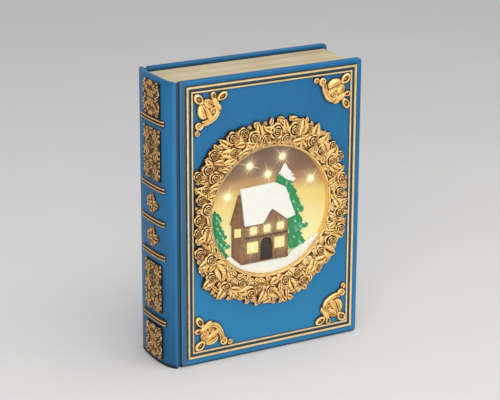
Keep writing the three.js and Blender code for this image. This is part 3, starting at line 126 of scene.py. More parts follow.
def node(tree, kind, inputs=None, **settings):
    """New shader node with values or links for its inputs, and with settings of its own."""
    made = tree.nodes.new(kind)
    for key, value in settings.items():
        setattr(made, key, value)
    for key, value in (inputs or {}).items():
        if isinstance(value, bpy.types.NodeSocket):
            tree.links.new(value, made.inputs[key])
        else:
            made.inputs[key].default_value = value
    return made


def maths(tree, operation, first, second=None, clamp=False):
    inputs = {0: first} if second is None else {0: first, 1: second}
    return node(tree, "ShaderNodeMath", inputs, operation=operation, use_clamp=clamp).outputs[0]


def mixed(tree, factor, first, second):
    made = node(tree, "ShaderNodeMix", {0: factor, 6: opaque(first), 7: opaque(second)}, data_type="RGBA")
    return made.outputs[2]


def opaque(colour):
    return colour if isinstance(colour, bpy.types.NodeSocket) else (*colour[:3], 1.0)


def ramp(tree, factor, stops):
    made = node(tree, "ShaderNodeValToRGB", {0: factor})
    elements = made.color_ramp.elements
    while len(elements) < len(stops):
        elements.new(1.0)
    for element, (place, colour) in zip(elements, stops):
        element.position = place
        element.color = opaque(colour)
    return made.outputs[0]


def step_up(tree, factor, low, high):
    """0 up to one value of a socket and 1 from another on, with a straight rise between."""
    return ramp(tree, factor, [(low, BLACK), (high, WHITE)])


def grain(tree, coordinates, scale, detail=3.0, roughness=0.55, stretch=(1, 1, 1)):
    """Noise from 0 to 1, drawn out along an axis whose stretch is under 1."""
    placed = node(tree, "ShaderNodeMapping", {"Vector": coordinates, "Scale": stretch}).outputs[0]
    made = node(tree, "ShaderNodeTexNoise",
                {"Vector": placed, "Scale": scale, "Detail": detail, "Roughness": roughness})
    return made.outputs[0]


def object_place(tree):
    return node(tree, "ShaderNodeTexCoord").outputs["Object"]


def axes_of(tree, vector):
    return node(tree, "ShaderNodeSeparateXYZ", {0: vector}).outputs


def layer(tree, name, output="Fac"):
    """Values of one of the piece's own mesh layers."""
    return node(tree, "ShaderNodeAttribute", attribute_name=name).outputs[output]


def unshaded_share(tree, distance):
    """Ambient occlusion, 0 in a crevice and 1 in the open, looking as far as a distance; the paints turn it
    into painted shade.
    """
    return node(tree, "ShaderNodeAmbientOcclusion", {"Distance": distance}, samples=12).outputs["AO"]


def start_material(name, roughness, metallic=0.0):
    material = bpy.data.materials.new(name)
    material.use_nodes = True
    shader = material.node_tree.nodes["Principled BSDF"]
    shader.inputs["Roughness"].default_value = roughness
    shader.inputs["Metallic"].default_value = metallic
    return material, material.node_tree, shader


def link(tree, output, shader, socket):
    tree.links.new(output, shader.inputs[socket])


def light_up(tree, shader, colour):
    """One colour for a lit piece's paint and for its light."""
    link(tree, colour, shader, "Base Color")
    link(tree, colour, shader, "Emission Color")


def raise_surface(tree, shader, height, distance, strength):
    made = node(tree, "ShaderNodeBump", {"Height": height, "Distance": distance, "Strength": strength})
    link(tree, made.outputs[0], shader, "Normal")


def inside(tree, value, low, high, soft):
    """1 between two values of a socket, 0 outside, with a soft step within each end."""
    rise = maths(tree, "DIVIDE", maths(tree, "SUBTRACT", value, low), soft, True)
    fall = maths(tree, "DIVIDE", maths(tree, "SUBTRACT", high, value), soft, True)
    return maths(tree, "MULTIPLY", rise, fall)


def frame_inset(tree, place):
    """Distance in metres from the outline of the gilt frame toward the middle of the cover."""
    axes = axes_of(tree, place)
    from_side = []
    for axis, low, high in ((axes[0], COVER_LEFT + BEAD_LEFT * MM, COVER_LEFT + BEAD_RIGHT * MM),
                            (axes[2], BEAD_BOTTOM * MM, BEAD_TOP * MM)):
        off = maths(tree, "ABSOLUTE", maths(tree, "SUBTRACT", axis, (low + high) / 2))
        from_side.append(maths(tree, "SUBTRACT", (high - low) / 2, off))
    return maths(tree, "MINIMUM", *from_side)


def cover_shade(tree, shader, place, paint, pale=0.0):
    """Brushed blue, darkened with wash and painted shade in its recesses and beside the gilt, and lightened
    toward the foot by a share as painted light.
    """
    broad = grain(tree, place, 22, 4)
    fine = grain(tree, place, 260, stretch=(1, 1, 0.25))
    blue = mixed(tree, maths(tree, "MULTIPLY", broad, 0.9), paint.cover_blue, paint.cover_pale)
    blue = mixed(tree, maths(tree, "MULTIPLY", fine, 0.25), blue, paint.cover_dark)
    # Painted light: toward the foot the blue pales by the given share.
    below = maths(tree, "SUBTRACT", FOOT_LIGHT_BELOW, axes_of(tree, place)[2])
    foot = maths(tree, "DIVIDE", below, FOOT_LIGHT_DROP, True)
    blue = mixed(tree, maths(tree, "MULTIPLY", foot, pale), blue, paint.cover_foot_light)
    shader.inputs["Specular IOR Level"].default_value = 0.35
    raise_surface(tree, shader, fine, 0.0002, 0.25)
    # Painted shade: the blue goes toward the wash colour in crevices and beside the gilt.
    return mixed(tree, step_up(tree, unshaded_share(tree, 0.003), 0.56, 0.92), paint.cover_wash_and_shade, blue)


def cover_paint(paint):
    material, tree, shader = start_material("Cover_Paint", 0.5)
    link(tree, cover_shade(tree, shader, object_place(tree), paint), shader, "Base Color")
    return material


def front_paint(paint):
    """Cover paint of the front, with a washed channel, a groove darkened with wash and painted shade, and a
    gilt wall round the window.
    """
    material, tree, shader = start_material("Front_Cover_Paint", 0.5)
    place = object_place(tree)
    shade = cover_shade(tree, shader, place, paint, 0.8)
    worn = maths(tree, "MULTIPLY", grain(tree, place, 90), 0.6)
    channel = inside(tree, frame_inset(tree, place), CHANNEL[0] * MM, CHANNEL[1] * MM, 0.0003)
    shade = mixed(tree, maths(tree, "SUBTRACT", channel, worn, True), shade, paint.channel_slate)
    axes = axes_of(tree, place)
    groove_end = COVER_LEFT + GROOVE[1] * MM
    # Hinge groove, darkened with wash and painted shade.
    groove = inside(tree, axes[0], COVER_LEFT + GROOVE[0] * MM, groove_end, 0.0004)
    shade = mixed(tree, maths(tree, "MULTIPLY", groove, 0.8), shade, paint.groove_wash_and_shade)
    strip = inside(tree, axes[0], groove_end, COVER_LEFT + BEAD_LEFT * MM, 0.0012)
    shade = mixed(tree, maths(tree, "MULTIPLY", strip, 0.72), shade, paint.strip_grey)
    middle = opening_middle()
    across = maths(tree, "SUBTRACT", axes[0], middle.x)
    up = maths(tree, "SUBTRACT", axes[2], middle.z)
    away = maths(tree, "SQRT", maths(tree, "ADD", maths(tree, "MULTIPLY", across, across),
                                     maths(tree, "MULTIPLY", up, up)))
    wall = maths(tree, "LESS_THAN", away, (OPENING_RADIUS + 0.2) * MM)
    gold = mixed(tree, grain(tree, place, 300), paint.gilt_bright, paint.gilt_gold)
    link(tree, mixed(tree, wall, shade, gold), shader, "Base Color")
    return material


# Depths at which the five tones of the gilt stand, from the wash and painted shade of the crevices to the
# cream of the painted highlights on the crests.
GILT_STOPS = (0.06, 0.26, 0.48, 0.78, 0.98)


def gilt_tones(paint, dull=0.0):
    """The five tones of the gilt, moved by a share toward a greyer brass."""
    bright = (paint.gilt_wash_and_shade, paint.gilt_brown, paint.gilt_gold, paint.gilt_bright, paint.gilt_cream)
    brass = (paint.gilt_wash_and_shade, paint.brass_brown, paint.brass_tan, paint.brass_pale, paint.brass_cream)
    return [tuple(one + (other - one) * dull for one, other in zip(*pair)) for pair in zip(bright, brass)]


def gilt_paint(name, tones, level, crevice_shade, mottle, sharp=1.0):
    """Antique gold: painted highlights where the relief stands, brown wash and painted shade where it sinks.

    The level scales the whole, the next setting is how much crevices darken as painted shade, mottle how much
    the gold varies, and sharp over 1 deepens the wash and painted shade.
    """
    material, tree, shader = start_material(name, 0.4, 0.25)
    place = object_place(tree)
    wash_shade_highlight = layer(tree, "wash_shade_highlight")
    blotch = maths(tree, "SUBTRACT", grain(tree, place, 320), 0.5)
    # Painted shade: the gilt darkens in crevices by the given share.
    unshaded = maths(tree, "MULTIPLY", unshaded_share(tree, 0.0012), crevice_shade)
    depth = maths(tree, "MULTIPLY", wash_shade_highlight, maths(tree, "ADD", unshaded, 1.0 - crevice_shade))
    depth = maths(tree, "ADD", depth, maths(tree, "MULTIPLY", blotch, mottle), True)
    depth = maths(tree, "MULTIPLY", maths(tree, "POWER", depth, sharp), level)
    link(tree, ramp(tree, depth, list(zip(GILT_STOPS, tones))), shader, "Base Color")
    raise_surface(tree, shader, grain(tree, place, 900), 0.0001, 0.3)
    return material


def page_paint(paint):
    """Cream edges of many thin leaves, lined along the block and stained a little, and darker where they sink
    between the covers as painted shade.
    """
    material, tree, shader = start_material("Page_Edges", 0.75)
    place = object_place(tree)
    leaves = grain(tree, place, 420, 2, 0.7, stretch=(0.02, 1, 0.02))
    cream = mixed(tree, grain(tree, place, 45, 4), paint.page_cream, paint.page_tan)
    lines = ramp(tree, leaves, [(0.33, (0.6, 0.6, 0.6)), (0.5, BLACK)])
    lined = mixed(tree, lines, cream, paint.page_line_and_shade)
    # Painted shade where the pages sink between the covers.
    unshaded = step_up(tree, unshaded_share(tree, 0.002), 0.1, 0.7)
    link(tree, mixed(tree, unshaded, paint.page_line_and_shade, lined), shader, "Base Color")
    raise_surface(tree, shader, leaves, 0.0004, 0.5)
    return material


# Rays of a lamp: how many pairs, thinness, length as a share of the reach, level.
RAYS = ((2.0, 160.0, 1.0, 0.5), (3.0, 200.0, 0.85, 0.4), (5.0, 160.0, 0.66, 0.34), (8.0, 60.0, 0.5, 0.34))


def sparkle_group():
    """Painted light round one lamp: a core, a halo and thin painted rays, as a share from 0 to about 1."""
    name = "Lamp_Sparkle"
    if name in bpy.data.node_groups:
        return bpy.data.node_groups[name]
    tree = bpy.data.node_groups.new(name, "ShaderNodeTree")
    for label, kind in (("Place", "Vector"), ("Centre", "Vector"), ("Reach", "Float"), ("Turn", "Float"),
                        ("Rays", "Float")):
        tree.interface.new_socket(label, in_out="INPUT", socket_type=f"NodeSocket{kind}")
    tree.interface.new_socket("Light", in_out="OUTPUT", socket_type="NodeSocketFloat")
    given = node(tree, "NodeGroupInput").outputs
    away = node(tree, "ShaderNodeVectorMath", {0: given["Place"], 1: given["Centre"]}, operation="SUBTRACT")
    axes = axes_of(tree, away.outputs[0])
    flat = node(tree, "ShaderNodeCombineXYZ", {0: axes[0], 2: axes[2]}).outputs[0]
    far = node(tree, "ShaderNodeVectorMath", {0: flat}, operation="LENGTH").outputs["Value"]
    share = maths(tree, "DIVIDE", far, given["Reach"])
    angle = maths(tree, "ADD", maths(tree, "ARCTAN2", axes[2], axes[0]), given["Turn"])
    core = maths(tree, "EXPONENT", maths(tree, "MULTIPLY", maths(tree, "MULTIPLY", share, share), -22.0))
    halo = maths(tree, "MULTIPLY", maths(tree, "EXPONENT", maths(tree, "MULTIPLY", share, -3.2)), 0.5)
    light = maths(tree, "ADD", core, halo)
    for count, thin, length, level in RAYS:
        wave = maths(tree, "ABSOLUTE", maths(tree, "COSINE", maths(tree, "MULTIPLY", angle, count)))
        fade = maths(tree, "SUBTRACT", 1.0, maths(tree, "DIVIDE", share, length), True)
        ray = maths(tree, "MULTIPLY", maths(tree, "POWER", wave, thin), maths(tree, "MULTIPLY", fade, level))
        light = maths(tree, "ADD", light, maths(tree, "MULTIPLY", ray, given["Rays"]))
    node(tree, "NodeGroupOutput", {0: light})
    return tree


def sparkle(tree, place, lamps, reach, rays=1.0):
    """Light of several lamps, each with its rays turned a little from the last one's."""
    light = None
    for i, (a, b) in enumerate(lamps):
        made = node(tree, "ShaderNodeGroup", {
            "Place": place, "Centre": on_window(a, b), "Reach": reach, "Turn": 0.35 + 0.5 * i, "Rays": rays,
        }, node_tree=sparkle_group())
        light = made.outputs[0] if light is None else maths(tree, "MAXIMUM", light, made.outputs[0])
    return light


def sky_paint(paint, glow):
    """Dusk sky printed on a panel lit from behind, with the lamps' sparkle."""
    material, tree, shader = start_material("Dusk_Sky", 0.5)
    place = object_place(tree)
    cloud = maths(tree, "SUBTRACT", grain(tree, place, 60, stretch=(0.5, 1, 1.6)), 0.5)
    height = maths(tree, "SUBTRACT", axes_of(tree, place)[2], on_window(0, -1).z)
    share = maths(tree, "DIVIDE", height, 2 * WINDOW_RADIUS * MM)
    share = maths(tree, "ADD", share, maths(tree, "MULTIPLY", cloud, 0.16))
    dusk = ramp(tree, share, [
        (0.32, paint.sky_low), (0.6, paint.sky_gold), (0.72, paint.sky_tan), (0.8, paint.sky_brown),
        (0.95, paint.sky_dark),
    ])
    light = maths(tree, "MULTIPLY", sparkle(tree, place, STAR_SHARES, glow.sparkle_reach * MM), 1.0, True)
    light_up(tree, shader, mixed(tree, light, dusk, mixed(tree, light, paint.glow_tan, paint.star_cream)))
    shader.inputs["Emission Strength"].default_value = glow.sky_strength
    return material


def lamp_paint(paint, glow):
    """Lens of a lamp, pale and lit, with a darker body so that daylight doesn't bleach it."""
    material, tree, shader = start_material("Lit_Lens", 0.15)
    tint = mixed(tree, grain(tree, object_place(tree), 500, 2), paint.star_cream, paint.lamp_warm)
    link(tree, mixed(tree, 0.7, tint, BLACK), shader, "Base Color")
    link(tree, tint, shader, "Emission Color")
    shader.inputs["Emission Strength"].default_value = glow.lamp_strength
    return material


def pane_paint(paint, glow):
    """Window panes, brightest in front of the lamp behind each."""
    material, tree, shader = start_material("Lit_Panes", 0.3)
    light = sparkle(tree, object_place(tree), PANE_LAMPS, glow.sparkle_reach * MM, 0.0)
    lit = mixed(tree, maths(tree, "MULTIPLY", light, 0.9, True), paint.pane_yellow, paint.pane_cream)
    light_up(tree, shader, lit)
    shader.inputs["Emission Strength"].default_value = glow.pane_strength
    return material


def wall_paint(paint, glow):
    """Brown rendered walls with brush marks, and painted light spilling from the panes that also makes the
    walls glow.
    """
    material, tree, shader = start_material("Cottage_Wall", 0.8)
    place = object_place(tree)
    rough = grain(tree, place, 330, 4)
    stroke = grain(tree, place, 300, stretch=(1, 1, 0.2))
    tone = step_up(tree, maths(tree, "MULTIPLY", maths(tree, "ADD", rough, stroke), 0.5), 0.38, 0.6)
    brown = mixed(tree, tone, paint.wall_brown, paint.wall_tan)
    light = sparkle(tree, place, PANE_LAMPS, glow.sparkle_reach * MM, 0.45)
    light_up(tree, shader, mixed(tree, maths(tree, "MULTIPLY", light, 1.35, True), brown, paint.glow_tan))
    link(tree, maths(tree, "MULTIPLY", light, 0.3, True), shader, "Emission Strength")
    raise_surface(tree, shader, rough, 0.0003, 0.5)
    return material


def mottled(name, first, second, scale, roughness=0.6, metallic=0.0, bump=0.0002, stretch=(1, 1, 1)):
    """Paint or moulded surface of two near tones."""
    material, tree, shader = start_material(name, roughness, metallic)
    tone = grain(tree, object_place(tree), scale, stretch=stretch)
    link(tree, mixed(tree, tone, first, second), shader, "Base Color")
    raise_surface(tree, shader, tone, bump, 0.4)
    return material


def snow_paint(paint):
    """White with soft brush marks, a little greyer in its hollows as painted shade."""
    material, tree, shader = start_material("Painted_Snow", 0.7)
    stroke = grain(tree, object_place(tree), 240, stretch=(0.6, 1, 1.4))
    white = mixed(tree, stroke, paint.snow_shade, paint.snow_white)
    unshaded = step_up(tree, unshaded_share(tree, 0.0015), 0.1, 0.7)
    link(tree, mixed(tree, unshaded, paint.snow_shade, white), shader, "Base Color")
    shader.inputs["Subsurface Weight"].default_value = 0.1
    shader.inputs["Subsurface Radius"].default_value = (0.001, 0.001, 0.001)
    raise_surface(tree, shader, stroke, 0.0003, 0.4)
    return material


def fir_paint(paint):
    """Green needles that carry snow on their tips, by the piece's own layers."""
    material, tree, shader = start_material("Fir_Needles", 0.7)
    needles = grain(tree, layer(tree, "needle", "Vector"), 2.2)
    # The tiers' painted shade and highlight darken and lighten the green.
    wash_shade_highlight = maths(tree, "MULTIPLY", layer(tree, "wash_shade_highlight"), 0.4)
    tone = maths(tree, "ADD", wash_shade_highlight, maths(tree, "MULTIPLY", needles, 0.8))
    green = ramp(tree, tone, [
        (0.3, paint.fir_dark), (0.56, paint.fir_green), (0.76, paint.fir_green), (1.0, paint.fir_pale),
    ])
    ragged = maths(tree, "MULTIPLY", maths(tree, "SUBTRACT", needles, 0.5), 0.5)
    snowy = step_up(tree, maths(tree, "ADD", layer(tree, "snow"), ragged), 0.45, 0.62)
    link(tree, mixed(tree, snowy, green, paint.snow_white), shader, "Base Color")
    raise_surface(tree, shader, grain(tree, object_place(tree), 900, 2), 0.0002, 0.4)
    return material


# Meshes

def new_bmesh():
    """Empty mesh with the layers that the sweeps and the paints use."""
    bm = bmesh.new()
    bm.verts.layers.int.new("around")
    # Share from dark to light that the paints read: wash and painted shade in hollows, painted highlights on
    # crests.
    bm.verts.layers.float.new("wash_shade_highlight")
    bm.verts.layers.float.new("snow")
    bm.verts.layers.float_vector.new("needle")
    return bm


def wash_shade_highlight_layer(bm):
    return bm.verts.layers.float["wash_shade_highlight"]


def as_mesh(bm, name):
    mesh = bpy.data.meshes.new(name)
    bm.to_mesh(mesh)
    bm.free()
    return mesh


def shown(name, bm, material, replaces=(), body="book", smooth=60):
    """Finished piece that rides on a body and may stand for CAD nodes."""
    mesh = as_mesh(bm, name)
    obj = bpy.data.objects.new(name, mesh)
    bpy.context.scene.collection.objects.link(obj)
    mesh.materials.append(material)
    mesh.shade_smooth()
    mesh.set_sharp_from_angle(angle=math.radians(smooth))
    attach(obj, body)
    if replaces:
        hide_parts(*replaces)


def stamp(bm, template, matrix):
    """Copy of a template mesh added to a mesh under construction."""
    copy = template.copy()
    copy.transform(matrix)
    if matrix.is_negative:
        copy.flip_normals()
    bm.from_mesh(copy)
    bpy.data.meshes.remove(copy)


def add_part(bm, part):
    """Finished part moved into a mesh under construction."""
    mesh = as_mesh(part, "part")
    bm.from_mesh(mesh)
    bpy.data.meshes.remove(mesh)


def discard(templates):
    for template in templates:
        bpy.data.meshes.remove(template)


def border_of(bm):
    return [e for e in bm.edges if e.is_boundary]


def extruded(bm, edges):
    """New vertices of a row of edges, extruded where it lies."""
    grown = bmesh.ops.extrude_edge_only(bm, edges=edges)["geom"]
    return [g for g in grown if isinstance(g, bmesh.types.BMVert)]


def closed_chain(bm, count):
    """Ring of numbered vertices, ready to be given a section's places, and its edges."""
    around = bm.verts.layers.int["around"]
    chain = [bm.verts.new((i, 0, 0)) for i in range(count)]
    for i, vert in enumerate(chain):
        vert[around] = i
    return chain, [bm.edges.new(pair) for pair in zip(chain, chain[1:] + chain[:1])]


def spin_line(bm, places, steps, centre=(0, 0, 0), axis=(0, 0, 1)):
    """Line through a row of places, turned once round an axis."""
    verts = [bm.verts.new(place) for place in places]
    edges = [bm.edges.new(pair) for pair in zip(verts, verts[1:])]
    bmesh.ops.spin(bm, geom=verts + edges, cent=centre, axis=axis, dvec=(0, 0, 0), angle=TURN, steps=steps,
                   use_merge=True, use_normal_flip=False, use_duplicate=False)


def spun_rings(bm, count, sectors):
    """Disc of rings, each at a radius of its own number, ready to be shaped."""
    spin_line(bm, [(i, 0, 0) for i in range(count)], sectors)
    bmesh.ops.remove_doubles(bm, verts=bm.verts, dist=0.01)
    return [(v, round(math.hypot(v.co.x, v.co.y)), math.atan2(v.co.y, v.co.x)) for v in bm.verts]


def close_underside(bm):
    bmesh.ops.edgeloop_fill(bm, edges=border_of(bm))
    bmesh.ops.recalc_face_normals(bm, faces=bm.faces)


# Rings of a rose from its bud to its foot: share of the radius, of the height, petals, turn, scallop, wash.
# The wash column is dark as wash and painted shade in the gaps between petals and bright as painted highlight
# on their crests.
ROSE_RINGS = (
    (0.0, 0.9, 2, 0.0, 0.0, 0.6), (0.06, 0.98, 2, 0.2, 0.2, 1.0), (0.12, 0.86, 2, 0.2, 0.2, 0.6),
    (0.135, 0.6, 2, 0.2, 0.2, 0.0), (0.18, 0.62, 3, 0.9, 0.2, 0.15), (0.25, 0.98, 3, 0.9, 0.22, 1.0),
    (0.32, 0.88, 3, 0.9, 0.24, 0.6), (0.345, 0.52, 3, 0.9, 0.24, 0.0), (0.41, 0.56, 4, 0.3, 0.2, 0.15),
    (0.51, 0.94, 4, 0.3, 0.22, 1.0), (0.6, 0.82, 4, 0.3, 0.24, 0.6), (0.63, 0.4, 4, 0.3, 0.24, 0.0),
    (0.7, 0.44, 5, 1.1, 0.18, 0.15), (0.85, 0.76, 5, 1.1, 0.2, 1.0), (0.95, 0.64, 5, 1.1, 0.22, 0.75),
    (1.0, 0.34, 5, 1.1, 0.22, 0.4), (0.97, -0.15, 5, 1.1, 0.22, 0.0),
)


def rose_template(seed, rings, sectors):
    """Open rose of cupped petal layers, one radius wide and one high."""
    bm = new_bmesh()
    spread = random.Random(seed)
    turns = [spread.uniform(0, TURN) for _ in range(6)]
    for vert, ring, angle in spun_rings(bm, len(rings), sectors):
        reach, rise, petals, turn, scallop, wash_shade_highlight = rings[ring]
        petal = abs(math.cos(petals * (angle - turn - turns[petals]) / 2)) ** 0.55
        radius = reach * (1 - scallop * (1 - petal))
        lift = rise * (1 - 0.22 * (1 - petal) * (1 if wash_shade_highlight > 0.5 else 0))
        vert.co = Vector((radius * math.cos(angle), radius * math.sin(angle), lift))
        vert[wash_shade_highlight_layer(bm)] = wash_shade_highlight * (0.5 + 0.5 * petal)
    close_underside(bm)
    return as_mesh(bm, f"rose_{seed}")


# Rings of a bud, in the same terms.
BUD_RINGS = (
    (0.0, 0.94, 2, 0.0, 0.0, 0.8), (0.18, 1.0, 2, 0.4, 0.25, 1.0), (0.28, 0.76, 2, 0.4, 0.25, 0.15),
    (0.42, 0.9, 3, 0.4, 0.25, 1.0), (0.58, 0.76, 3, 0.4, 0.2, 0.85), (0.63, 0.46, 3, 0.4, 0.2, 0.1),
    (0.82, 0.56, 4, 0.9, 0.2, 0.95), (1.0, 0.26, 4, 0.9, 0.2, 0.6), (0.97, -0.15, 4, 0.9, 0.2, 0.1),
)


# Outline of a leaf: powers toward its root and its tip, and what makes its widest place one half width.
LEAF_ROOT, LEAF_TIP, LEAF_FULL = 0.55, 0.95, 2.68


def leaf_template(seed, half_wide, teeth, thick=0.16, columns=14, rows=8):
    """Pointed leaf from its stalk at the origin to its tip one length along x, closed down to its foot."""
    bm = new_bmesh()
    spread = random.Random(seed)
    bend = spread.uniform(-0.12, 0.12)
    curl = spread.uniform(0.0, 0.1)
    bmesh.ops.create_grid(bm, x_segments=columns, y_segments=rows, size=1)
    for vert in bm.verts:
        along, across, off = (vert.co.x + 1) / 2, vert.co.y, abs(vert.co.y)
        arch = math.sin(math.pi * along)
        saw = 1 - 0.12 * abs(math.sin(math.pi * teeth * along)) * off
        outline = LEAF_FULL * max(along, 0.0005) ** LEAF_ROOT * max(1 - along, 0.0005) ** LEAF_TIP
        ridge = 0.1 * math.sin(math.pi * min(off * 0.85, 1)) * arch ** 0.5
        vert.co = Vector((along, across * half_wide * outline * saw + bend * arch,
                          0.1 * arch + ridge + curl * along ** 3))
        # Dark along the midrib and the veins as painted shade, bright toward the edges as painted highlight.
        vein = 0.5 + 0.5 * math.cos(TURN * (4.5 * along - 1.1 * off))
        tone = 0.1 + (0.68 + 0.22 * smooth_step(off, 0.6, 0.95)) * smooth_step(off, 0.03, 0.3)
        vert[wash_shade_highlight_layer(bm)] = tone * (1 - 0.36 * vein)
    lower_border(bm, thick)
    return as_mesh(bm, f"leaf_{seed}")


def lower_border(bm, depth, inset=0.97):
    """Wall from the border of an open sheet down to its foot, painted dark as the shade under the sheet, and
    the foot closed.
    """
    middle = sum((v.co for v in bm.verts), Vector()) / len(bm.verts)
    for vert in extruded(bm, border_of(bm)):
        vert.co.x = middle.x + (vert.co.x - middle.x) * inset
        vert.co.y = middle.y + (vert.co.y - middle.y) * inset
        vert.co.z -= depth
        vert[wash_shade_highlight_layer(bm)] = 0.0
    close_underside(bm)


# Rings of lobes and spoons: share of the radius, share of the height, wash, which is dark as wash and painted
# shade in hollows and bright as painted highlight on crests.
SHELL_RINGS = ((0.0, 1.0, 0.8), (0.2, 0.99, 0.8), (0.4, 0.94, 0.85), (0.58, 0.86, 0.9), (0.72, 0.76, 1.0),
               (0.85, 0.6, 0.95), (0.95, 0.38, 0.7), (1.0, 0.1, 0.1), (0.98, -0.1, 0.0))
SPOON_RINGS = ((0.0, 0.62, 0.7), (0.25, 0.56, 0.5), (0.46, 0.54, 0.15), (0.58, 0.84, 0.6), (0.72, 1.0, 1.0),
               (0.88, 0.86, 1.0), (1.0, 0.42, 0.7), (1.02, 0.1, 0.1), (1.0, -0.1, 0.0))


def lobe_template(rings, flutes, point=0.0, sectors=32):
    """Oval boss along x, fluted or hollowed, drawn in at its root end."""
    bm = new_bmesh()
    for vert, ring, angle in spun_rings(bm, len(rings), sectors):
        reach, rise, wash_shade_highlight = rings[ring]
        x, y = reach * math.cos(angle), reach * math.sin(angle)
        narrow = 1 - point * smooth_step(-x, -0.2, 1.0)
        wave = 0.5 + 0.5 * math.cos(flutes * math.pi * (y + 0.45)) if flutes else 1.0
        deep = smooth_step(y, -0.5, 0.0) if flutes else 0.0
        ridge = 1 - deep * (1 - wave ** 0.6)
        vert.co = Vector((x, y * narrow, rise * (0.78 + 0.22 * ridge)))
        # Painted shade in the grooves between the flutes.
        vert[wash_shade_highlight_layer(bm)] = wash_shade_highlight * (0.2 + 0.8 * ridge)
    close_underside(bm)
    return as_mesh(bm, "lobe")


def sweep(bm, stations, sides=8, groove=0.0):
    """Tube through stations of (place, half width, half height), lying flat, with a groove along its top,
    painted light on its upper side and painted shade underneath and in the groove.
    """
    around, wash_shade_highlight = bm.verts.layers.int["around"], wash_shade_highlight_layer(bm)
    ring = bmesh.ops.create_circle(bm, cap_ends=False, segments=sides, radius=1)["verts"]
    for i, vert in enumerate(ring):
        vert[around] = i
    for i, (place, half_wide, half_tall) in enumerate(stations):
        ahead = stations[min(i + 1, len(stations) - 1)][0] - stations[max(i - 1, 0)][0]
        side = Vector((-ahead.y, ahead.x, 0)).normalized()
        if i:
            ring = extruded(bm, ring_edges(ring))
        for vert in ring:
            angle = TURN * vert[around] / sides
            dent = groove * math.exp(-(math.cos(angle) + 0.1) ** 2 * 30) if math.sin(angle) > 0 else 0.0
            lift = Vector((0, 0, half_tall * math.sin(angle) * (1 - 0.3 * dent)))
            vert.co = place + side * half_wide * math.cos(angle) + lift
            vert[wash_shade_highlight] = smooth_step(math.sin(angle), -0.3, 0.8) * (1 - 0.75 * dent)


def ring_edges(ring):
    members = set(ring)
    return list({e for v in ring for e in v.link_edges if e.other_vert(v) in members})


def close_tubes(bm):
    ends = border_of(bm)
    if ends:
        bmesh.ops.holes_fill(bm, edges=ends, sides=0)
    bmesh.ops.recalc_face_normals(bm, faces=bm.faces)


def spiral_path(turns, outer, inner, steps, hand):
    path = []
    for i in range(steps + 1):
        share = i / steps
        radius = outer + (inner - outer) * share ** 0.8
        angle = hand * TURN * turns * share
        path.append(Vector((radius * math.cos(angle), radius * math.sin(angle), 0)))
    return path


# Bud at the heart of a curl: radius and height.
CURL_BUD = (0.26, 0.36)


def curl_template(turns, hand, wire, tail=0.0, steps=22):
    """Scroll one radius wide that winds in to a bud, thick outside and thin inside."""
    bm = new_bmesh()
    path = spiral_path(turns, 1 - wire, 0.3, steps, hand)
    if tail:
        path = [path[0] + Vector((tail * s * 0.25, -hand * tail * s, 0)) for s in (1, 0.66, 0.33)] + path
    stations = []
    for i, place in enumerate(path):
        share = i / (len(path) - 1)
        stations.append((place, wire * (1 - 0.45 * share), wire * 1.5 * (1 - 0.3 * share)))
    sweep(bm, stations)
    close_tubes(bm)
    bud = lobe_template(SHELL_RINGS, 0, sectors=10)
    stamp(bm, bud, Matrix.Diagonal((CURL_BUD[0], *CURL_BUD, 1)))
    discard([bud])
    return as_mesh(bm, "curl")


def placed(x, y, z, heading, size, tilt=0.0):
    """Matrix for a template: sized, tipped about its own y, headed about z and moved."""
    return (Matrix.Translation((x, y, z)) @ Matrix.Rotation(heading, 4, "Z") @ Matrix.Rotation(tilt, 4, "Y")
            @ Matrix.Diagonal((*size, 1)))


def clip_height(bm, top):
    """Press anything above a height back to it."""
    for vert in bm.verts:
        vert.co.z = min(vert.co.z, top)


# Wreath

# Gap between the inner bead and the wreath at its widest, half the wreath's height, and its highest relief.
WREATH_GAP, WREATH_HALF_TALL, WREATH_TOP = 0.8, 67.5, 5.95
WREATH_HALF_WIDE = (BEAD_RIGHT - BEAD_LEFT) / 2 - INNER_BEAD[0] - INNER_BEAD[1] - WREATH_GAP
# The outline is squarer toward the spine than toward the fore edge: mean power, its swing and where it peaks.
OUTLINE_POWER, OUTLINE_SWING, OUTLINE_PEAK = 2.7, 0.5, math.radians(190)
# Where the outline draws in or swells: degrees, half-width in degrees, millimetres drawn in.
OUTLINE_HOLLOWS = ((306, 17, 6.2), (244, 11, 5.5), (117, 10, 2.6), (150, 10, -2.6))

# Roses: degrees round the window, share of the way from its rim to the outline, size.
ROSES = (
    (119, 0.84, 0.85), (112, 0.8, 0.75), (106, 0.5, 0.9), (89, 0.52, 1.05), (75, 0.55, 1), (97, 0.25, 0.7),
    (88, 0.2, 0.6), (80, 0.2, 0.7), (70, 0.22, 0.65), (124, 0.4, 0.7), (134, 0.8, 0.7), (149, 0.9, 0.65),
    (143, 0.7, 0.85), (145, 0.36, 0.85), (155, 0.56, 0.65), (162, 0.72, 0.7), (168, 0.38, 1),
    (176, 0.8, 0.75), (185, 0.42, 0.8), (185, 0.86, 0.6), (199, 0.84, 0.75), (207, 0.45, 0.9),
    (218, 0.66, 0.75), (231, 0.58, 0.9), (219, 0.24, 0.7), (241, 0.3, 0.75), (251, 0.58, 1),
    (255, 0.22, 0.6), (267, 0.45, 0.85), (281, 0.26, 0.85), (294, 0.6, 0.65), (292, 0.22, 0.7),
    (305, 0.24, 0.8), (308, 0.62, 0.75), (318, 0.3, 0.75), (329, 0.43, 1), (340, 0.66, 0.75),
    (352, 0.45, 0.8), (9, 0.42, 0.8), (18, 0.66, 0.75), (26, 0.3, 0.75), (35, 0.46, 0.95), (33, 0.84, 0.7),
    (42, 0.78, 0.65), (47, 0.35, 0.8), (58, 0.4, 0.85), (66, 0.66, 0.7),
)
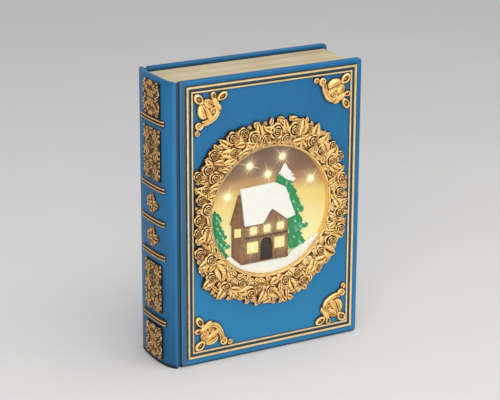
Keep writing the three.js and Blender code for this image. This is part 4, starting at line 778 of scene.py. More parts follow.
# Leaves: degrees and share of the way out of each tip, lean from straight outward in degrees, size.
LEAVES = (
    (126, 1.04, 20, 1.1), (115, 0.98, -25, 0.9), (101, 0.96, 0, 1.1), (91, 0.86, -10, 0.9), (83, 0.9, 15, 1),
    (71, 0.96, 10, 1.1), (59, 1, 15, 1.1), (50, 0.96, -10, 1), (39, 1.01, 0, 1.1), (24, 1, 5, 1),
    (12, 0.98, -20, 0.8), (1, 0.98, 10, 0.8), (347, 0.98, 20, 0.8), (334, 1, -5, 1.1), (323, 1.02, 5, 1.2),
    (311, 0.94, -20, 1), (300, 0.84, 15, 1), (287, 0.84, 10, 1.2), (278, 0.82, 20, 1), (269, 0.92, 0, 1.1),
    (259, 0.86, -20, 1), (247, 0.92, -15, 0.9), (240, 0.95, 10, 1), (231, 1, 5, 1.1), (220, 1.04, -5, 1.2),
    (208, 1, -5, 1.1), (191, 0.98, 15, 0.8), (171, 0.98, 15, 0.8), (157, 1, 0, 1), (139, 0.98, -20, 0.8),
    (131, 0.66, 40, 1), (114, 0.5, 50, 0.9), (98, 0.68, 60, 0.9), (65, 0.4, -50, 1), (52, 0.6, 60, 1),
    (25, 0.6, -60, 0.8), (0, 0.7, 40, 0.8), (319, 0.66, 60, 1), (299, 0.5, -60, 1), (273, 0.72, 50, 1),
    (241, 0.66, -50, 1), (225, 0.5, 60, 1), (212, 0.3, -60, 0.8), (194, 0.55, 60, 1.1), (157, 0.3, -50, 0.8),
    (134, 0.36, 60, 0.9),
)


def wreath_reach(angle):
    """Distance from the window's middle to the wreath's outline."""
    across = abs(math.cos(angle)) / WREATH_HALF_WIDE
    up = abs(math.sin(angle)) / WREATH_HALF_TALL
    power = OUTLINE_POWER + OUTLINE_SWING * math.cos(angle - OUTLINE_PEAK)
    reach = (across ** power + up ** power) ** (-1 / power)
    for degrees, half, depth in OUTLINE_HOLLOWS:
        away = (math.degrees(angle) - degrees + 180) % 360 - 180
        reach -= depth * math.exp(-(away / half) ** 2)
    return reach


def rim_reach(angle):
    """Distance from the window's middle to the gilt rim."""
    along = RIM_SHIFT[0] * math.cos(angle) + RIM_SHIFT[1] * math.sin(angle)
    return along + math.sqrt(RIM_RADIUS ** 2 - math.hypot(*RIM_SHIFT) ** 2 + along ** 2)


def on_wreath(angle, share, inset=0.0):
    """Place on the cover at a share of the way from the rim to the outline."""
    rim = rim_reach(angle)
    radius = rim + inset + share * (wreath_reach(angle) - rim)
    return WINDOW_A + radius * math.cos(angle), WINDOW_B + radius * math.sin(angle)


# Section of the rim and its ground: millimetres out from the window, share of the band, height, wash, which
# gives a painted highlight on the rim's crest and wash and painted shade at its foot.
BED_RINGS = (
    (0.0, 0.0, 0.0, 0.5), (0.12, 0.0, 0.5, 0.5), (0.45, 0.0, 1.6, 0.6), (0.8, 0.0, 2.2, 0.85),
    (1.2, 0.0, 2.2, 0.4), (1.6, 0.0, 1.9, 0.15), (1.4, 0.12, 2.3, 0.3), (0.6, 0.3, 2.8, 0.3),
    (0.3, 0.45, 2.6, 0.3), (0.0, 0.6, 2.0, 0.3), (0.0, 0.68, 1.4, 0.25), (0.0, 0.76, 0.8, 0.1),
    (0.0, 0.78, -0.2, 0.0),
)


def outward(share):
    """Share of the band that keeps a little clear of the rim."""
    return 0.06 + 0.94 * share


def bed_height(share):
    return 2.6 if share < 0.5 else max(2.6 - (share - 0.5) * 5.0, 0.2)


def wreath_bed(bm):
    """Rim and sloping ground that the roses stand on."""
    bed = new_bmesh()
    spin_line(bed, [(i + 1, 0, 0) for i in range(len(BED_RINGS))], 180)
    for vert in bed.verts:
        ring = round(math.hypot(vert.co.x, vert.co.y)) - 1
        angle = math.atan2(vert.co.y, vert.co.x)
        out, share, height, wash_shade_highlight = BED_RINGS[ring]
        a, b = on_wreath(angle, share, out)
        rough = noise.noise(Vector((a, b, 0)) * (0.45 if share else 0.3)) * (0.9 if share else 0.35)
        if height > 0:
            height += rough
        vert.co = Vector((a, b, height))
        # Bumps that stand up take a painted highlight.
        vert[wash_shade_highlight_layer(bed)] = wash_shade_highlight + max(rough, 0) * 0.5
    bmesh.ops.bridge_loops(bed, edges=border_of(bed))
    bmesh.ops.recalc_face_normals(bed, faces=bed.faces)
    add_part(bm, bed)


def lay_leaf(bm, spread, shapes, a, b, heading, length, lift, droop):
    """Leaf with its stalk at a place, of one of several shapes, widened a little by chance."""
    wide = spread.uniform(0.9, 1.25)
    stamp(bm, spread.choice(shapes), placed(a, b, lift, heading, (length, length * wide, length), droop))


def lay_bud(bm, spread, buds, a, b, lift, heading, radius, tall):
    stamp(bm, spread.choice(buds), placed(a, b, lift, heading, (radius, radius, tall)))


def lay_listed_leaves(bm, spread, leaves, usual):
    """Leaves of the list, those at the outline lower and drooping more."""
    for i, (degrees, share, lean, size) in enumerate(LEAVES):
        tip_a, tip_b = on_wreath(math.radians(degrees), outward(share))
        heading, length = math.radians(degrees + lean), size * usual
        a, b = tip_a - length * math.cos(heading), tip_b - length * math.sin(heading)
        lift, droop = (2.1 + 0.5 * (i % 3), 0.12) if share > 0.8 else (3.0 + 0.4 * (i % 2), 0.04)
        lay_leaf(bm, spread, leaves, a, b, heading, length, lift, droop)


def lay_listed_roses(bm, spread, roses, largest):
    """Roses of the list, each leaning toward its own edge of the band, and the circles that they take."""
    taken = []
    for degrees, share, size in ROSES:
        angle, radius = math.radians(degrees), size * largest
        a, b = on_wreath(angle, outward(share))
        taken.append((a, b, radius))
        base = bed_height(share) * 0.75
        tall = min(0.72 * radius + 1.1, 3.9 + 1.9 * smooth_step(share, 0.2, 0.42) - base)
        tangent = Vector((-math.sin(angle), math.cos(angle), 0))
        lean = Matrix.Rotation(math.radians(16) * (share - 0.5), 4, tangent)
        turn = Matrix.Rotation(spread.uniform(0, TURN), 4, "Z")
        scale = Matrix.Diagonal((radius, radius, tall, 1))
        stamp(bm, spread.choice(roses), Matrix.Translation((a, b, base)) @ lean @ turn @ scale)
    return taken


class Fill(NamedTuple):
    """Buds and leaves of one size that fill what the roses leave free, in millimetres.

    The band is between two shares of the way out. A bud's seat is a share of the ground's height. A leaf
    swings by up to so many radians from straight outward. Its length is so many times the circle's radius.
    """
    tries: int
    radii: tuple
    band: tuple
    bud_chance: float
    bud_seat: float
    bud_tall: float
    swing: float
    times_long: float
    lift: float
    droop: float


# The first is of leaves, the second of sprigs.
FILLS = (
    Fill(tries=1, radii=(2.3, 3.2), band=(0.2, 0.8), bud_chance=0.45, bud_seat=0.8, bud_tall=2.4,
         swing=1.4, times_long=2.7, lift=1.1, droop=0.06),
    Fill(tries=2, radii=(1.2, 1.7), band=(0.12, 0.92), bud_chance=0.3, bud_seat=0.9, bud_tall=1.9,
         swing=1.6, times_long=3.4, lift=0.8, droop=0.05),
)


def left_free(taken, spread, tries, radii, band):
    """Places on the band that the taken circles leave free, found by throwing darts."""
    found = []
    for _ in range(tries):
        angle, share = spread.uniform(0, TURN), spread.uniform(*band)
        radius = spread.uniform(*radii)
        a, b = on_wreath(angle, share)
        if all(math.hypot(a - x, b - y) > 0.8 * (radius + r) for x, y, r in taken):
            taken.append((a, b, radius))
            found.append((a, b, radius, angle, share))
    return found


def lay_fill(bm, spread, fill, taken, tries, shapes, buds):
    """Buds and leaves of one size wherever the taken circles leave room."""
    for a, b, radius, angle, share in left_free(taken, spread, tries * fill.tries, fill.radii, fill.band):
        ground = bed_height(share)
        if spread.random() < fill.bud_chance:
            lay_bud(bm, spread, buds, a, b, ground * fill.bud_seat, angle, radius, fill.bud_tall)
        else:
            heading = angle + spread.uniform(-fill.swing, fill.swing)
            length = radius * fill.times_long
            a, b = a - 0.5 * length * math.cos(heading), b - 0.5 * length * math.sin(heading)
            lay_leaf(bm, spread, shapes, a, b, heading, length, ground + fill.lift, fill.droop)


def lay_rim(bm, spread, sprigs, buds, count):
    """Sprigs and every third place a bud, along the window's rim."""
    for i in range(count):
        angle = TURN * (i + spread.uniform(-0.35, 0.35)) / count
        a, b = on_wreath(angle, 0.0, 3.9)
        if i % 3:
            heading = angle + math.pi + spread.uniform(0.2, 1.3) * spread.choice((-1, 1))
            lay_leaf(bm, spread, sprigs, a, b, heading, spread.uniform(3.8, 5.2), 3.0, 0.12)
        else:
            radius = spread.uniform(1.5, 2.2)
            lay_bud(bm, spread, buds, a, b, 1.8, angle, radius, 1.9)


def dress_wreath(settings):
    """Roses, leaves, buds and sprigs on their bed, pressed under the wreath's top."""
    bm = new_bmesh()
    wreath_bed(bm)
    spread = random.Random(11)
    roses = [rose_template(seed, ROSE_RINGS, 32) for seed in range(5)]
    buds = [rose_template(seed, BUD_RINGS, 16) for seed in range(10, 14)]
    leaves = [leaf_template(seed, half, teeth) for seed, half, teeth in
              ((1, 0.27, 5), (2, 0.3, 6), (3, 0.24, 4), (4, 0.32, 5), (5, 0.22, 3))]
    sprigs = [leaf_template(seed, 0.3, 3, 0.3, 8, 6) for seed in (6, 7, 8)]
    lay_listed_leaves(bm, spread, leaves, settings.leaf_length)
    taken = lay_listed_roses(bm, spread, roses, settings.rose_radius)
    for shapes, fill in zip((leaves, sprigs), FILLS):
        lay_fill(bm, spread, fill, taken, settings.dart_count, shapes, buds)
    lay_rim(bm, spread, sprigs, buds, settings.rim_count)
    clip_height(bm, WREATH_TOP)
    slope_to_rim(bm)
    bm.transform(ON_COVER)
    discard(roses + buds + leaves + sprigs)
    return bm


def slope_to_rim(bm):
    """Let the relief sink toward the window and keep it off the opening."""
    for vert in bm.verts:
        away = Vector((vert.co.x - WINDOW_A, vert.co.y - WINDOW_B))
        rim = rim_reach(math.atan2(away.y, away.x))
        vert.co.z *= 0.5 + 0.5 * smooth_step(away.length - rim, 0, 5)
        least = rim + 0.45 * max(vert.co.z, 0)
        if 0 < away.length < least:
            away *= least / away.length
            vert.co.x, vert.co.y = WINDOW_A + away.x, WINDOW_B + away.y


# Corner scrolls

# Inset of a scroll's corner from the frame's outline, and the least and greatest height of its relief.
SCROLL_INSET, SCROLL_FOOT, SCROLL_TOP = 5.5, -0.1, 2.78
# Lobes: form, a along one side of the inner bead from its corner, b along the other, half length, half width,
# heading in degrees, height.
SCROLL_LOBES = (
    ("spoon", 3.7, 4.0, 4.4, 3.0, 132, 2.3), ("shell", 7.0, 12.5, 5.9, 4.5, -70, 2.78),
    ("ridge", 10.6, 13.4, 5.4, 1.6, -60, 2.6), ("shell", 10.8, 7.5, 4.3, 3.3, -35, 2.55),
    ("spoon", 14.4, 2.7, 3.0, 1.9, 95, 2.2), ("spoon", 20.8, 3.6, 4.3, 2.6, 29, 2.5),
    ("ridge", 15.9, 7.2, 4.2, 2.3, -60, 2.5), ("ridge", 18.6, 10.5, 3.0, 1.6, -62, 2.3),
    ("ridge", 12.2, 17.0, 2.6, 1.4, -20, 2.2), ("spoon", 18.0, 13.2, 2.0, 1.2, -95, 2.6),
    ("ridge", 16.9, 16.4, 2.0, 1.0, -125, 2.6),
)
# Curls: a, b, radius, hand, heading in degrees.
SCROLL_CURLS = ((14.1, 12.7, 2.9, 1, 40), (3.7, 21.8, 3.6, -1, 0), (2.7, 27.0, 2.5, 1, 90))
# Stems: rows of a, b and half width.
SCROLL_STEMS = (
    ((15.8, 9.2, 1.0), (17.2, 12.0, 1.5), (17.2, 14.8, 1.8), (15.4, 17.4, 1.9), (12.6, 19.4, 1.7),
     (9.6, 20.8, 1.4), (6.8, 21.5, 1.0), (5.0, 21.6, 0.7)),
    ((13.6, 15.4, 0.7), (12.8, 17.0, 0.9), (10.8, 18.6, 0.9), (8.4, 19.4, 0.8), (5.6, 19.6, 0.6)),
)


def corner_scroll(corner_a, corner_b, quarter):
    """Scroll of one corner, turned by quarters clockwise from the top left one."""
    bm = new_bmesh()
    forms = {"shell": lobe_template(SHELL_RINGS, 5, 0.15, 64), "spoon": lobe_template(SPOON_RINGS, 0, 0.25),
             "ridge": lobe_template(SHELL_RINGS, 0, 0.1)}
    curls = {hand: curl_template(1.5, hand, 0.24) for hand in (1, -1)}
    for kind, a, b, half_long, half_wide, heading, tall in SCROLL_LOBES:
        stamp(bm, forms[kind], placed(a, -b, 0, math.radians(heading), (half_long, half_wide, tall)))
    for a, b, radius, hand, heading in SCROLL_CURLS:
        tall = min(radius, 2.6) * 1.7
        stamp(bm, curls[hand], placed(a, -b, 0.5, math.radians(heading), (radius, radius, tall)))
    for stem in SCROLL_STEMS:
        tube = new_bmesh()
        sweep(tube, [(Vector((a, -b, 0.5)), half, 1.5 + 0.3 * half) for a, b, half in smooth_path(stem, 4)],
              sides=20, groove=1.0)
        close_tubes(tube)
        add_part(bm, tube)
    discard([*forms.values(), *curls.values()])
    for vert in bm.verts:
        vert.co.z = min(max(vert.co.z, SCROLL_FOOT), SCROLL_TOP)
    turn = Matrix.Rotation(-quarter * math.pi / 2, 4, "Z")
    bm.transform(ON_COVER @ Matrix.Translation((corner_a, corner_b, 0)) @ turn)
    return bm


def smooth_path(points, between):
    """Catmull-Rom points between given rows of numbers."""
    rows = [Vector(p) for p in points]
    rows = [rows[0] * 2 - rows[1], *rows, rows[-1] * 2 - rows[-2]]
    smooth = []
    for p, q, r, s in zip(rows, rows[1:], rows[2:], rows[3:]):
        for i in range(between):
            t = i / between
            smooth.append((q * 2 + (r - p) * t + (p * 2 - q * 5 + r * 4 - s) * t ** 2
                           + (q * 3 - p - r * 3 + s) * t ** 3) / 2)
    smooth.append(rows[-2])
    return smooth


# Gilt beads

# Section of a bead: shares of its width and of its height, wash, which gives a painted highlight along the
# crest and painted shade down the sides.
BEAD_SECTION = ((0.0, -0.1, 0.0), (0.03, 0.3, 0.05), (0.12, 0.6, 0.25), (0.24, 0.86, 0.65), (0.4, 1.0, 0.95),
                (0.6, 0.98, 1.0), (0.76, 0.8, 0.95), (0.9, 0.5, 0.6), (0.97, 0.25, 0.1), (1.0, -0.1, 0.0))


def gilt_bead(offset, wide, tall):
    """Round-topped rectangular frame with mitred corners, extruded corner by corner."""
    bm = new_bmesh()
    around, wash_shade_highlight = bm.verts.layers.int["around"], wash_shade_highlight_layer(bm)
    corners = ((1, 1), (-1, 1), (-1, -1), (1, -1))

    def set_at(verts, corner):
        side_a, side_b = corner
        for vert in verts:
            across, up, tone = BEAD_SECTION[vert[around]]
            inset = offset + across * wide
            a = BEAD_RIGHT - inset if side_a > 0 else BEAD_LEFT + inset
            b = BEAD_TOP - inset if side_b > 0 else BEAD_BOTTOM + inset
            vert.co = Vector((a, b, up * tall))
            vert[wash_shade_highlight] = tone

    chain, edges = closed_chain(bm, len(BEAD_SECTION))
    set_at(chain, corners[0])
    for corner in corners[1:] + corners[:1]:
        verts = extruded(bm, edges)
        edges = ring_edges(verts)
        set_at(verts, corner)
    bmesh.ops.remove_doubles(bm, verts=bm.verts, dist=0.001)
    bmesh.ops.recalc_face_normals(bm, faces=bm.faces)
    bm.transform(ON_COVER)
    return bm


# Spine

# Face of the spine: a of its front and back edges, how far it bulges past them and the power of its curve.
SPINE_EDGE, SPINE_BULGE, SPINE_POWER = -2.8, 6.8, 2.6
# Ornaments of the spine: depth of their middle behind the front cover, half their width and greatest relief.
PANEL_MIDDLE, PANEL_HALF, PANEL_TOP = 21.9, 11.1, 2.05


def on_spine(depth, up, lift):
    """World place at a depth behind the front cover and a height, lifted off the spine's face."""
    half = BOOK_DEEP / 2
    share = min(max((depth - half) / half, -0.995), 0.995)
    steep = math.sqrt(1 - abs(share) ** SPINE_POWER)
    slope = SPINE_BULGE * SPINE_POWER * abs(share) ** (SPINE_POWER - 1) / (2 * steep * half)
    slope = math.copysign(slope, share)
    length = math.hypot(1, slope)
    x = SPINE_EDGE - SPINE_BULGE * steep - lift / length
    return Vector((COVER_LEFT + x * MM, COVER_FACE + (depth + lift * slope / length) * MM, up * MM))


def wrap_spine(bm, middle_up, least):
    """Bend a flat ornament, x to the front cover and y up, round the spine, lifted at least so much."""
    for vert in bm.verts:
        vert.co = on_spine(PANEL_MIDDLE - vert.co.x, middle_up + vert.co.y, max(vert.co.z, least))


# Panels: foot, head and rows of filigree.
SPINE_PANELS = {
    "spine_panel_head": (174.6, 198.0, 2), "spine_panel_upper": (130.6, 166.3, 3),
    "spine_panel_lower": (37.3, 71.6, 3), "spine_panel_tail": (3.6, 26.4, 2),
}
# Kinds of relief in the filigree with how often each comes and its least and largest size.
FILIGREE_KINDS = (("curl_left", 5, 1.1, 1.8), ("curl_right", 5, 1.1, 1.8), ("leaf", 8, 1.7, 3.0),
                  ("bud", 5, 0.4, 0.7), ("rose", 1, 0.9, 1.2))
FILIGREE_DEAL = [kind for kind in FILIGREE_KINDS for _ in range(kind[1])]
# Pieces of filigree in half a row of a panel, set in columns, and in a quarter of a flower.
PANEL_COUNT, PANEL_COLUMNS, FLOWER_COUNT = 28, 4, 26


def panel_ground(bm, half, tall):
    """Plate under the filigree, painted dark as wash and as the shade between the filigree."""
    plate = new_bmesh()
    bmesh.ops.create_grid(plate, x_segments=16, y_segments=max(int(tall), 4), size=1)
    for vert in plate.verts:
        vert.co = Vector((vert.co.x * half, vert.co.y * tall / 2, 0.9))
        vert[wash_shade_highlight_layer(plate)] = 0.06
    for vert in extruded(plate, border_of(plate)):
        vert.co.z = 0.25
    close_tubes(plate)
    add_part(bm, plate)


def stamp_mirrored(bm, template, place, sides, heading, size, tall):
    """Copy of a template, sized and headed, then mirrored by the signs of its sides and moved."""
    stamp(bm, template, Matrix.Translation(place) @ Matrix.Diagonal((*sides, 1, 1))
          @ Matrix.Rotation(heading, 4, "Z") @ Matrix.Diagonal((size, size, tall, 1)))


def spine_panel(low, high, rows, templates):
    """Dense filigree, the same left and right, in rows that are each the mirror of the next."""
    bm = new_bmesh()
    tall = high - low
    panel_ground(bm, PANEL_HALF - 0.2, tall - 0.2)
    half_row = tall / rows / 2
    spread = random.Random(rows * 7)
    motif = []
    for i in range(PANEL_COUNT):
        row, column = divmod(i, PANEL_COLUMNS)
        kind, _, least, largest = spread.choice(FILIGREE_DEAL)
        across = (column + spread.uniform(0.2, 0.9)) / PANEL_COLUMNS * (PANEL_HALF - 0.7)
        share = (row + spread.uniform(0.2, 0.8)) / math.ceil(PANEL_COUNT / PANEL_COLUMNS)
        up = (2 * share - 1) * (half_row - 0.2)
        motif.append((kind, across, up, spread.uniform(least, largest), spread.uniform(0, TURN)))
    for row in range(rows):
        middle = -tall / 2 + (2 * row + 1) * half_row
        flip = 1 if row % 2 else -1
        for kind, across, up, size, heading in motif:
            height = {"bud": 1.1, "rose": 0.8, "leaf": size * 1.1}.get(kind, 2.6)
            for side in (1, -1):
                place = (side * across, middle + flip * up, 0.75)
                stamp_mirrored(bm, templates[kind], place, (side, flip), heading, size, height)
    for vert in bm.verts:
        vert.co.x = min(max(vert.co.x, -PANEL_HALF), PANEL_HALF)
        vert.co.y = min(max(vert.co.y, -tall / 2), tall / 2)
    clip_height(bm, PANEL_TOP)
    wrap_spine(bm, (low + high) / 2, 0.25)
    return bm


# Bands: the height of each one's middle, how tall each is, the depths behind the front cover that it spans
# and the steps of its sweep.
BAND_HEIGHTS = (171.5, 125.4, 101.65, 77.9, 31.0)
BAND_TALL, BAND_FRONT, BAND_BACK, BAND_STEPS = 4.4, 7.0, 38.0, 32
# Section of a band: share of its height up, lift off the spine, wash, which gives painted highlights on the
# two rules and wash and painted shade between them and at their edges.
BAND_SECTION = ((0.0, 0.1, 0.0), (0.02, 0.4, 0.0), (0.08, 0.6, 0.0), (0.11, 1.0, 0.35), (0.18, 1.25, 0.9),
                (0.27, 1.25, 0.8), (0.34, 0.9, 0.3), (0.38, 0.5, 0.0), (0.5, 0.55, 0.0), (0.58, 0.5, 0.0),
                (0.62, 1.0, 0.35), (0.7, 1.25, 0.9), (0.82, 1.25, 0.8), (0.89, 0.9, 0.3), (0.92, 0.6, 0.0),
                (0.98, 0.4, 0.0), (1.0, 0.1, 0.0))


def spine_band(height):
    """Ridged band swept round the spine's face, sinking into it at both ends."""
    bm = new_bmesh()
    around, wash_shade_highlight = bm.verts.layers.int["around"], wash_shade_highlight_layer(bm)

    def set_at(verts, depth):
        ends = min(depth - BAND_FRONT, BAND_BACK - depth)
        for vert in verts:
            up, lift, tone = BAND_SECTION[vert[around]]
            vert.co = on_spine(depth, height + (up - 0.5) * BAND_TALL, min(lift, 0.5 + ends * 1.2))
            vert[wash_shade_highlight] = tone

    chain, edges = closed_chain(bm, len(BAND_SECTION))
    set_at(chain, BAND_FRONT)
    for i in range(1, BAND_STEPS + 1):
        verts = extruded(bm, edges)
        edges = ring_edges(verts)
        set_at(verts, BAND_FRONT + (BAND_BACK - BAND_FRONT) * i / BAND_STEPS)
    close_tubes(bm)
    return bm


def spine_flower(height, templates):
    """Diamond of filigree, the same on all four sides."""
    bm = new_bmesh()
    spread = random.Random(5)
    for heading in (0, math.pi / 2, math.pi, -math.pi / 2):
        reach = 8.6 if abs(math.sin(heading)) < 0.5 else 7.5
        stamp(bm, templates["leaf"], placed(0, 0, 0.5, heading, (reach, reach * 1.6, 5.0)))
    for _ in range(FLOWER_COUNT):
        kind, _, least, largest = spread.choice(FILIGREE_DEAL)
        out = spread.uniform(0.15, 0.95)
        across = spread.uniform(0.05, 1.0)
        x, y = 7.2 * out * across, 6.4 * out * (1 - across)
        size, heading = spread.uniform(least, largest), spread.uniform(0, TURN)
        for sides in ((1, 1), (-1, 1), (1, -1), (-1, -1)):
            stamp_mirrored(bm, templates[kind], (sides[0] * x, sides[1] * y, 0.4), sides, heading, size, 2.0)
    clip_height(bm, PANEL_TOP)
    wrap_spine(bm, height, 0.2)
    return bm


# Snow scene

def block(bm, low, high, bevel=0.12, wash_shade_highlight=0.5):
    """Small softened block between two corners on the cover, in millimetres."""
    made = bmesh.ops.create_cube(bm, size=1)["verts"]
    low, high = Vector(low), Vector(high)
    for vert in made:
        vert.co = Vector(((low[k] + high[k]) / 2 + vert.co[k] * (high[k] - low[k]) for k in range(3)))
        vert[wash_shade_highlight_layer(bm)] = wash_shade_highlight
    edges = list({e for v in made for e in v.link_edges})
    bmesh.ops.bevel(bm, geom=edges, offset=bevel, offset_type="OFFSET", segments=2, profile=0.5,
                    affect="EDGES", material=-1)


# Front of the cottage's wall.
WALL_C = SKY_C + 3.3
# In shares of the window's radius: both ends of the beam and its height, and the middle of the door's foot.
BEAM_FROM, BEAM_TO, BEAM_UP = -0.47, 0.295, -0.366
DOOR_FOOT = (-0.082, -0.776)
# How many ends of joists show under the beam, and how many boards the pair of door leaves has.
JOIST_COUNT, BOARD_COUNT = 15, 6
# Door in millimetres: half its width, its height beside the arch and the gap between boards, then the arch's
# rise and half its width.
DOOR_HALF, DOOR_TALL, BOARD_GAP = 4.0, 11.6, 0.14
ARCH_RISE, ARCH_HALF = 4.0, 4.2
# Half the width of a window bar.
BAR_HALF = 0.13


def cottage_trim():
    """Beam with its row of ends, and the posts beside the door."""
    bm = new_bmesh()
    start, end = window_place(BEAM_FROM, BEAM_UP, 0), window_place(BEAM_TO, BEAM_UP, 0)
    back = WALL_C - 0.4
    block(bm, (start.x, start.y - 0.4, back), (end.x, start.y + 0.4, WALL_C + 0.46))
    for i in range(JOIST_COUNT):
        x = start.x + (end.x - start.x) * (i + 0.5) / JOIST_COUNT
        block(bm, (x - 0.42, start.y - 0.95, back), (x + 0.42, start.y - 0.3, WALL_C + 0.56), 0.1)
    door = window_place(*DOOR_FOOT, 0)
    for side in (-1, 1):
        x = door.x + side * (DOOR_HALF + 0.6)
        block(bm, (x - 0.3, door.y, back), (x + 0.3, door.y + DOOR_TALL + 0.5, WALL_C + 0.25))
    bm.transform(ON_COVER)
    return bm


def pane_boxes():
    """Middle and half sizes of each window of the cottage, in millimetres on the cover."""
    for a, b, wide, tall in PANE_SHARES:
        middle = window_place(a, b, 0)
        yield middle.x, middle.y, wide * WINDOW_RADIUS / 2, tall * WINDOW_RADIUS / 2


def window_bars():
    """Thin bars of the six windows, just proud of their lit panes: one upright above, two below."""
    bm = new_bmesh()
    front, back = WALL_C - 0.12, WALL_C - 0.6
    for i, (a, b, half_a, half_b) in enumerate(pane_boxes()):
        for share in (0,) if i < 4 else (-1 / 3, 1 / 3):
            x = a + share * half_a
            block(bm, (x - BAR_HALF, b - half_b, back), (x + BAR_HALF, b + half_b, front), 0.05)
        block(bm, (a - half_a, b - BAR_HALF, back), (a + half_a, b + BAR_HALF, front), 0.05)
    bm.transform(ON_COVER)
    return bm


def panes():
    """Lit sheets behind the window bars, a little wider than their openings."""
    bm = new_bmesh()
    for a, b, half_a, half_b in pane_boxes():
        wide, tall = half_a + 0.1, half_b + 0.1
        block(bm, (a - wide, b - tall, SKY_C + 0.1), (a + wide, b + tall, WALL_C - 0.3), 0.05)
    bm.transform(ON_COVER)
    return bm


def door_leaves():
    """Pair of boarded door leaves under a round arch, with handles."""
    bm = new_bmesh()
    door = window_place(*DOOR_FOOT, 0)
    board = 2 * DOOR_HALF / BOARD_COUNT
    for i in range(BOARD_COUNT):
        left = door.x - DOOR_HALF + board * i
        right = left + board - BOARD_GAP
        off = ((left + right) / 2 - door.x) / ARCH_HALF
        top = door.y + DOOR_TALL + ARCH_RISE * math.sqrt(max(1 - off ** 2, 0))
        block(bm, (left, door.y + 0.3, SKY_C + 1.2), (right, top, SKY_C + 2.4), 0.12, 0.4)
    for side in (-1, 1):
        x = door.x + side * 0.55
        block(bm, (x - 0.2, door.y + 6.2, SKY_C + 2.2), (x + 0.2, door.y + 7.6, SKY_C + 2.75), 0.1, 1.0)
    bm.transform(ON_COVER)
    return bm


def merged_copy(name):
    """The CAD node's mesh with its loose triangles joined."""
    bm = new_bmesh()
    bm.from_mesh(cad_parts[name].data)
    bmesh.ops.remove_doubles(bm, verts=bm.verts, dist=0.000005)
    return bm


def soft_snow(name, step, lift):
    """Rounded snow on a CAD node's outline: remeshed, smoothed and given shallow drifts."""
    mesh = as_mesh(merged_copy(name), f"{name}_soft")
    helper = bpy.data.objects.new(f"{name}_soft", mesh)
    bpy.context.scene.collection.objects.link(helper)
    remesh = helper.modifiers.new("remesh", "REMESH")
    remesh.mode = "VOXEL"
    remesh.voxel_size = step
    soften = helper.modifiers.new("smooth", "SMOOTH")
    soften.iterations = 6
    soften.factor = 0.6
    bpy.context.view_layer.update()
    shaped = bpy.data.meshes.new_from_object(helper.evaluated_get(bpy.context.evaluated_depsgraph_get()))
    bpy.data.objects.remove(helper)
    bpy.data.meshes.remove(mesh)
    bm = new_bmesh()
    bm.from_mesh(shaped)
    bpy.data.meshes.remove(shaped)
    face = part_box(name)[0].y
    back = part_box(name)[1].y
    for vert in bm.verts:
        front = smooth_step((back - vert.co.y) / (back - face), 0.2, 0.9)
        wave = noise.noise(vert.co * 130) * 0.8 + noise.noise(vert.co * 500) * 0.2
        vert.co.y += front * wave * lift
        vert.co.y = min(max(vert.co.y, face), back)
    keep_in_opening(bm)
    return bm


def keep_in_opening(bm):
    """Push what would reach into the cover's wall back inside the opening."""
    middle = opening_middle()
    limit = (OPENING_RADIUS - 0.25) * MM
    for vert in bm.verts:
        across, up = vert.co.x - middle.x, vert.co.z - middle.z
        away = math.hypot(across, up)
        if away > limit:
            vert.co.x, vert.co.z = middle.x + across * limit / away, middle.z + up * limit / away


# Tiers of a fir: shares of its height where a tier starts and where its tips hang, and its reach.
FIR_TIERS = ((0.0, 0.2, 0.43), (0.1, 0.54, 0.88), (0.38, 0.73, 1.05), (0.56, 0.9, 1.0))
# Rows of needle tufts on a tier: share of the way down it, and how many.
TUFT_ROWS = ((0.95, 15), (0.72, 11), (0.5, 7))
# Firs, in shares of the window's radius: across to the peak, up to it, foot and half width. Then the share of
# the height that is snowy at the crown.
FIRS = {
    "fir_tree_right": (0.278, 0.727, -0.78, 0.4, 0.165),
    "fir_tree_left": (-0.95, 0.134, -0.73, 0.23, 0.0),
}
# Depth of a fir and half the width of its trunk.
FIR_DEEP, TRUNK_HALF = 1.55, 1.6


def tier_share(down):
    """Share of a tier's reach that it has come to at a share of the way down it."""
    return 0.08 + 0.92 * down


def fir_skirt(bm, peak, tall, half, tier, number, white):
    """One drooping tier: a convex sheet with a ragged hem, closed behind."""
    start, tips, reach = tier
    sheet = new_bmesh()
    bmesh.ops.create_grid(sheet, x_segments=44, y_segments=14, size=1)
    needle, snow = sheet.verts.layers.float_vector["needle"], sheet.verts.layers.float["snow"]
    wash_shade_highlight = wash_shade_highlight_layer(sheet)
    for vert in sheet.verts:
        u, v = vert.co.x, (1 - vert.co.y) / 2
        coarse, fine = noise.noise(Vector((u * 7, number, 0))), noise.noise(Vector((u * 19, number, 5)))
        hem = coarse * 0.035 + fine * 0.02
        edge = 1 + 0.16 * noise.noise(Vector((v * 9, number, 9 + math.copysign(3, u))))
        x = u * half * reach * tier_share(v) * edge
        down = start + (tips - start) * v + (0.045 * (1 - u * u) + hem) * v * v
        bulge = math.sqrt(max(1 - u * u, 0.0))
        ridge = noise.noise(Vector((u * 16, v * 1.5, number)))
        c = 0.25 + (FIR_DEEP - 0.4) * bulge * (0.45 + 0.55 * v) + 0.16 * ridge
        vert.co = Vector((peak.x + x, peak.y - down * tall, SKY_C + min(max(c, 0.15), FIR_DEEP)))
        vert[needle] = Vector((u * 9, v * 2.2, number * 7))
        # Painted shade toward the top of each tier, under the tier above, and painted highlight toward its
        # hem and on its ridges.
        vert[wash_shade_highlight] = 0.35 + 0.5 * v + 0.4 * ridge
        streak = 0.5 + 0.5 * noise.noise(Vector((u * 5, v * 3, number + 20)))
        side = smooth_step(u, 0.72, 1.0) * smooth_step(v, 0.15, 0.6) * streak * 0.95
        vert[snow] = 1.0 if down < white * (1 + 0.45 * u) else side
    lower_border(sheet, FIR_DEEP, inset=1.0)
    for vert in sheet.verts:
        vert.co.z = max(vert.co.z, SKY_C + 0.02)
    add_part(bm, sheet)


